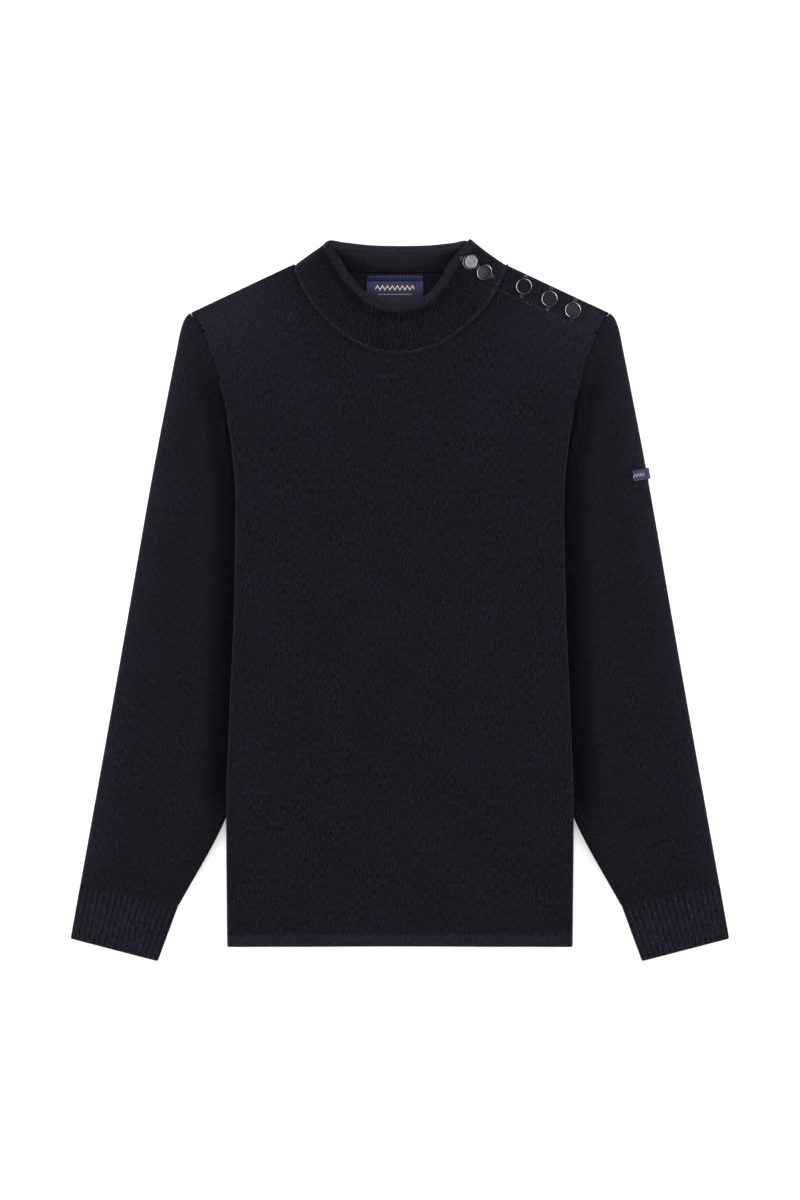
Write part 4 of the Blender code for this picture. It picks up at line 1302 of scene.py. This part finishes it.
def cloth_place(tree, vector):
    """Cloth coordinates in millimetres, and the same parted into X, Y and Z."""
    cloth = scaled(tree, vector, 1 / MM)
    return cloth, placed(tree, "SeparateXYZ", Vector=cloth).outputs


def object_place(tree):
    return placed(tree, "TexCoord").outputs["Object"]


def attribute(tree, name):
    node = placed(tree, "Attribute")
    node.attribute_name = name
    return node.outputs["Fac"]


def bumped(tree, height, shader, distance, strength):
    bump = placed(tree, "Bump", Height=height, Distance=distance, Strength=strength)
    filled(tree, shader, Normal=bump.outputs[0])


def group_with(name, inputs, outputs):
    """A node group with named sockets, and its first and last node."""
    group = bpy.data.node_groups.new(name, "ShaderNodeTree")
    for way, sockets in (("INPUT", inputs), ("OUTPUT", outputs)):
        for socket_name, kind, value in sockets:
            socket = group.interface.new_socket(
                socket_name, in_out=way, socket_type=f"NodeSocket{kind}"
            )
            if value is not None:
                socket.default_value = value
    return group, group.nodes.new("NodeGroupInput").outputs, group.nodes.new("NodeGroupOutput").inputs


def knit_group():
    """Felted knit on cloth coordinates: wales, short pale fibres, pits between them and a slow change of
    tone."""
    group, given, made = group_with(
        "felted knit",
        [
            ("Cloth", "Vector", None),
            ("Colour", "Color", (*NAVY_WOOL, 1.0)),
            ("Wale Pitch", "Float", 2.2),
            ("Wales", "Float", 0.3),
            ("Fibres", "Float", 1.0),
            ("Lighter", "Float", 0.0),
        ],
        [("Colour", "Color", None), ("Height", "Float", None)],
    )
    calc, span = partial(math_node, group), partial(ranged, group)
    cloth, parts = cloth_place(group, given["Cloth"])

    def field(across, down, detail, roughness=0.5):
        return noise(group, stretched(group, cloth, (across, down, 1)), 1.0, detail, roughness)

    across = calc("MULTIPLY_ADD", field(0.12, 0.05, 2.0), 2.4, parts["X"])
    phase = calc("DIVIDE", across, given["Wale Pitch"])
    wave = calc("SINE", calc("MULTIPLY", phase, 2 * math.pi))
    patchy = span(field(0.11, 0.04, 3.0), 0.38, 0.62)
    wales = calc("MULTIPLY", calc("MULTIPLY", wave, patchy), given["Wales"])

    fibres = span(field(0.8, 0.42, 4.0, 0.7), 0.54, 0.72)
    pits = span(field(0.55, 0.26, 3.0, 0.6), 0.48, 0.32)
    marks = calc("SUBTRACT", field(0.72, 0.19, 3.0, 0.6), 0.5)
    uneven = span(field(0.04, 0.03, 3.0), 0.35, 0.65, 0.5, 1.5)
    marks = calc("MULTIPLY", calc("MULTIPLY", marks, given["Fibres"]), uneven)
    tone = calc("MULTIPLY_ADD", noise(group, cloth, 0.017, 4.0, 0.55), 0.5, 0.75)
    tone = calc("MULTIPLY_ADD", fibres, calc("MULTIPLY", given["Fibres"], 1.3), tone)
    for part, share in ((pits, -0.65), (marks, 4.4), (wales, 0.22)):
        tone = calc("MULTIPLY_ADD", part, share, tone)
    # Painted light and shade from the lighter attribute: below zero it darkens the tone, above zero it
    # adds to it
    darker = calc("ADD", calc("MINIMUM", given["Lighter"], 0.0), 1.0)
    tone = calc("MULTIPLY", calc("MAXIMUM", tone, 0.15), darker)
    tone = calc("ADD", tone, calc("MAXIMUM", given["Lighter"], 0.0))
    height = calc("MULTIPLY", noise(group, cloth, 1.4, 3.0, 0.7), 0.5)
    for part, share in ((fibres, 0.6), (pits, -0.5), (wales, 0.5)):
        height = calc("MULTIPLY_ADD", part, share, height)
    feed(group, scaled(group, given["Colour"], tone), made["Colour"])
    feed(group, height, made["Height"])


def placed_group(tree, name, **values):
    node = placed(tree, "Group")
    node.node_tree = bpy.data.node_groups[name]
    return filled(tree, node, **values).outputs


def wool(name, colour, pitch, wales, fibres, sheen):
    tree, shader = new_material(name, 1.0)
    knit = placed_group(
        tree, "felted knit", Cloth=cloth_map(tree), Colour=(*colour, 1.0), Wale_Pitch=pitch,
        Wales=wales, Fibres=fibres, Lighter=attribute(tree, "lighter"),
    )
    bumped(tree, knit["Height"], shader, 0.0009, 0.9)
    filled(
        tree, shader, Base_Color=knit["Colour"], Specular_IOR_Level=0.05, Sheen_Weight=sheen,
        Sheen_Roughness=0.45, Sheen_Tint=SHEEN_TINT,
    )


def thread(name, colour, sheen, worn_to, bright):
    """Twisted yarn. Some stretches sink in the nap and show less, others stand out."""
    tree, shader = new_material(name, 0.9)
    place = object_place(tree)
    twist = noise(tree, place, 900.0, 2.0)
    shade = math_node(tree, "MULTIPLY_ADD", twist, 0.7, 0.65)
    sunk = ranged(tree, noise(tree, place, 150.0, 3.0, 0.6), 0.4, 0.62, worn_to, bright)
    shade = math_node(tree, "MULTIPLY", shade, sunk)
    bumped(tree, twist, shader, 0.0003, 0.6)
    filled(
        tree, shader, Base_Color=scaled(tree, colour, shade), Specular_IOR_Level=0.1, Sheen_Weight=sheen
    )


def metal():
    """Dark satin metal, brushed unevenly, with painted highlights on the rim and a painted reflection on
    the face.
    """
    tree, shader = new_material("dark satin metal", 0.3)
    place = object_place(tree)
    cloud = noise(tree, place, 260.0, 4.0, 0.6)
    fine = noise(tree, stretched(tree, place, (1, 0.12, 1)), 3600.0, 2.0)
    painted_highlight = math_node(tree, "MAXIMUM", attribute(tree, "worn"), attribute(tree, "polish"))
    amount = math_node(tree, "MULTIPLY", painted_highlight, ranged(tree, cloud, 0.3, 0.65, 0.6, 1.0))
    filled(
        tree, shader, Base_Color=over(tree, METAL_DARK, amount, METAL_HIGHLIGHT), Metallic=1.0,
        Roughness=ranged(tree, fine, 0.3, 0.7, 0.24, 0.4),
    )
    bumped(tree, fine, shader, 0.00004, 0.4)


def ribbon_group():
    """Woven ribbon: navy ground with ribbed threads, and a mask for a woven motif."""
    group, given, made = group_with(
        "woven ribbon",
        [("Cloth", "Vector", None)],
        [(name, "Float", None) for name in ("Threads", "Across", "Down")],
    )
    cloth, parts = cloth_place(group, given["Cloth"])
    warp, weft = (
        math_node(group, "SINE", math_node(group, "MULTIPLY", parts[way], 2 * math.pi / pitch))
        for way, pitch in (("X", WARP_PITCH), ("Y", WEFT_PITCH))
    )
    uneven = noise(group, cloth, 0.9, 3.0, 0.6)
    threads = math_node(group, "MULTIPLY_ADD", math_node(group, "MULTIPLY", warp, weft), 0.3, uneven)
    for name, value in (("Threads", threads), ("Across", parts["X"]), ("Down", parts["Y"])):
        feed(group, value, made[name])


def band_mask(tree, value, centre, half):
    """1 inside a band round a value, 0 outside, with a soft thread-wide edge."""
    away = math_node(tree, "ABSOLUTE", math_node(tree, "SUBTRACT", value, centre))
    return ranged(tree, away, half + THREAD_SOFTNESS, half - THREAD_SOFTNESS)


def zigzag_mask(tree, across, down, zigzag):
    """A woven zigzag along a line, between two ends."""
    centre, pitch, rise, half, reach = zigzag
    wave = math_node(tree, "PINGPONG", across, pitch / 2)
    line = math_node(tree, "MULTIPLY_ADD", wave, 2 * rise / pitch, centre - rise / 2)
    drawn = band_mask(tree, math_node(tree, "SUBTRACT", down, line), 0.0, half)
    return math_node(tree, "MULTIPLY", drawn, band_mask(tree, across, 0.0, reach))


def ribbon(name, is_tab, strength):
    tree, shader = new_material(name, 0.7)
    weave = placed_group(tree, "woven ribbon", Cloth=cloth_map(tree))
    across, down = weave["Across"], weave["Down"]
    if is_tab:
        colour = over(tree, NAVY_RIBBON, band_mask(tree, down, *TAB_BORDER), PALE_RIBBON)
        colour = over(tree, colour, zigzag_mask(tree, across, down, TAB_ZIGZAG), OCHRE)
    else:
        # Painted shade: the neck label darker towards its lower end
        colour = over(tree, NAVY_RIBBON, ranged(tree, down, *LABEL_PAINTED_SHADE), SHADED_RIBBON)
        colour = over(tree, colour, band_mask(tree, down, *LABEL_BAND), PALE_RIBBON)
        colour = over(tree, colour, band_mask(tree, down, *LABEL_BORDER), LINE_BLUE)
        colour = over(tree, colour, zigzag_mask(tree, across, down, LABEL_ZIGZAG), OCHRE)
        dots = band_mask(tree, math_node(tree, "PINGPONG", across, DOT_PITCH / 2), 0.0, DOT_HALF)
        dotted = math_node(tree, "MULTIPLY", dots, band_mask(tree, down, *LABEL_DOTS))
        dotted = math_node(tree, "MULTIPLY", dotted, band_mask(tree, across, 0.0, DOTS_REACH))
        colour = over(tree, colour, dotted, PALE_GREY)
    woven = ranged(tree, weave["Threads"], 0.1, 0.9, 0.6 * strength, 1.4 * strength)
    bumped(tree, weave["Threads"], shader, 0.0003, 0.5)
    colour = scaled(tree, colour, woven)
    filled(tree, shader, Base_Color=colour, Specular_IOR_Level=0.15, Sheen_Weight=0.05)


def materials():
    knit_group()
    ribbon_group()
    for row in WOOLS:
        wool(*row)
    for row in THREADS:
        thread(*row)
    metal()
    ribbon("navy woven ribbon", False, 1.4)
    ribbon("navy woven tab", True, 0.55)
    tree, shader = new_material("white studio floor", 0.9)
    grain = noise(tree, object_place(tree), 3.0, 2.0)
    tone = over(tree, (0.93, 0.93, 0.93), ranged(tree, grain, 0.4, 0.6), (0.94, 0.94, 0.94))
    filled(tree, shader, Base_Color=tone, Emission_Color=WHITE, Emission_Strength=FLOOR_GLOW)


# Studio

CAMERA_DISTANCE = 6.0
PHOTO_HEIGHT = 1.2
PHOTO_CENTRE = (0.0001, -0.0005)
SHARP_PLANE = 0.008
LAMPS = table(
    "name x y z width height power",
    ("overhead", 0.0, 0.3, 3.0, 2.6, 2.6, 24.0),
    ("left side", -1.0, -0.1, 0.42, 1.0, 0.5, 7.8),
    ("right side", 1.0, -0.1, 0.42, 1.0, 0.5, 6.8),
    ("beyond the left shoulder", -0.75, 0.95, 0.42, 0.7, 0.5, 8.5),
    ("beyond the right shoulder", 0.75, 0.95, 0.42, 0.7, 0.5, 8.0),
    ("above the neck", 0.0, 1.35, 0.5, 1.0, 0.5, 5.0),
    ("below the hem", 0.0, -1.2, 0.42, 1.2, 0.5, 9.0),
)


def studio():
    bpy.ops.mesh.primitive_plane_add(size=12, location=(0, 0, 0))
    floor = bpy.context.object
    floor.name = "floor"
    material_slot(floor, "white studio floor")
    for lamp in LAMPS:
        light = bpy.data.lights.new(lamp.name, "AREA")
        light.shape = "RECTANGLE"
        light.size, light.size_y, light.energy = lamp.width, lamp.height, lamp.power
        obj = new_object(lamp.name, light)
        obj.location = (lamp.x, lamp.y, lamp.z)
        obj.rotation_euler = (-obj.location).to_track_quat("-Z", "Y").to_euler()
    world = bpy.data.worlds.new("white studio")
    world.use_nodes = True
    tree = world.node_tree
    filled(tree, tree.nodes["Background"], Color=WHITE, Strength=WORLD_LIGHT)
    scene = bpy.context.scene
    scene.world = world
    scene.view_settings.view_transform = "Standard"
    scene.view_settings.look = "None"
    camera = bpy.data.cameras.new("straight down")
    camera.sensor_width = 36.0
    camera.lens = camera.sensor_width * CAMERA_DISTANCE / PHOTO_HEIGHT
    camera.clip_end = 50.0
    scene.camera = new_object("straight down", camera)
    scene.camera.location = (*PHOTO_CENTRE, CAMERA_DISTANCE + SHARP_PLANE)


# Materials, studio and the pieces

materials()
studio()
panel("front_panel", True)
panel("back_panel", False)
for side_name, side in (("left", 1), ("right", -1)):
    sleeve(f"{side_name}_sleeve", side)
    cuff(f"{side_name}_cuff", side)
collar()
button_stand()
neck_label()
sleeve_label()
buttons()
stitch = thread_shape()
stitch.name = "stitch pattern"
collar_stitching()
band_stitching()
buttonholes()
label_stitching()
linking()
bpy.data.objects.remove(stitch)
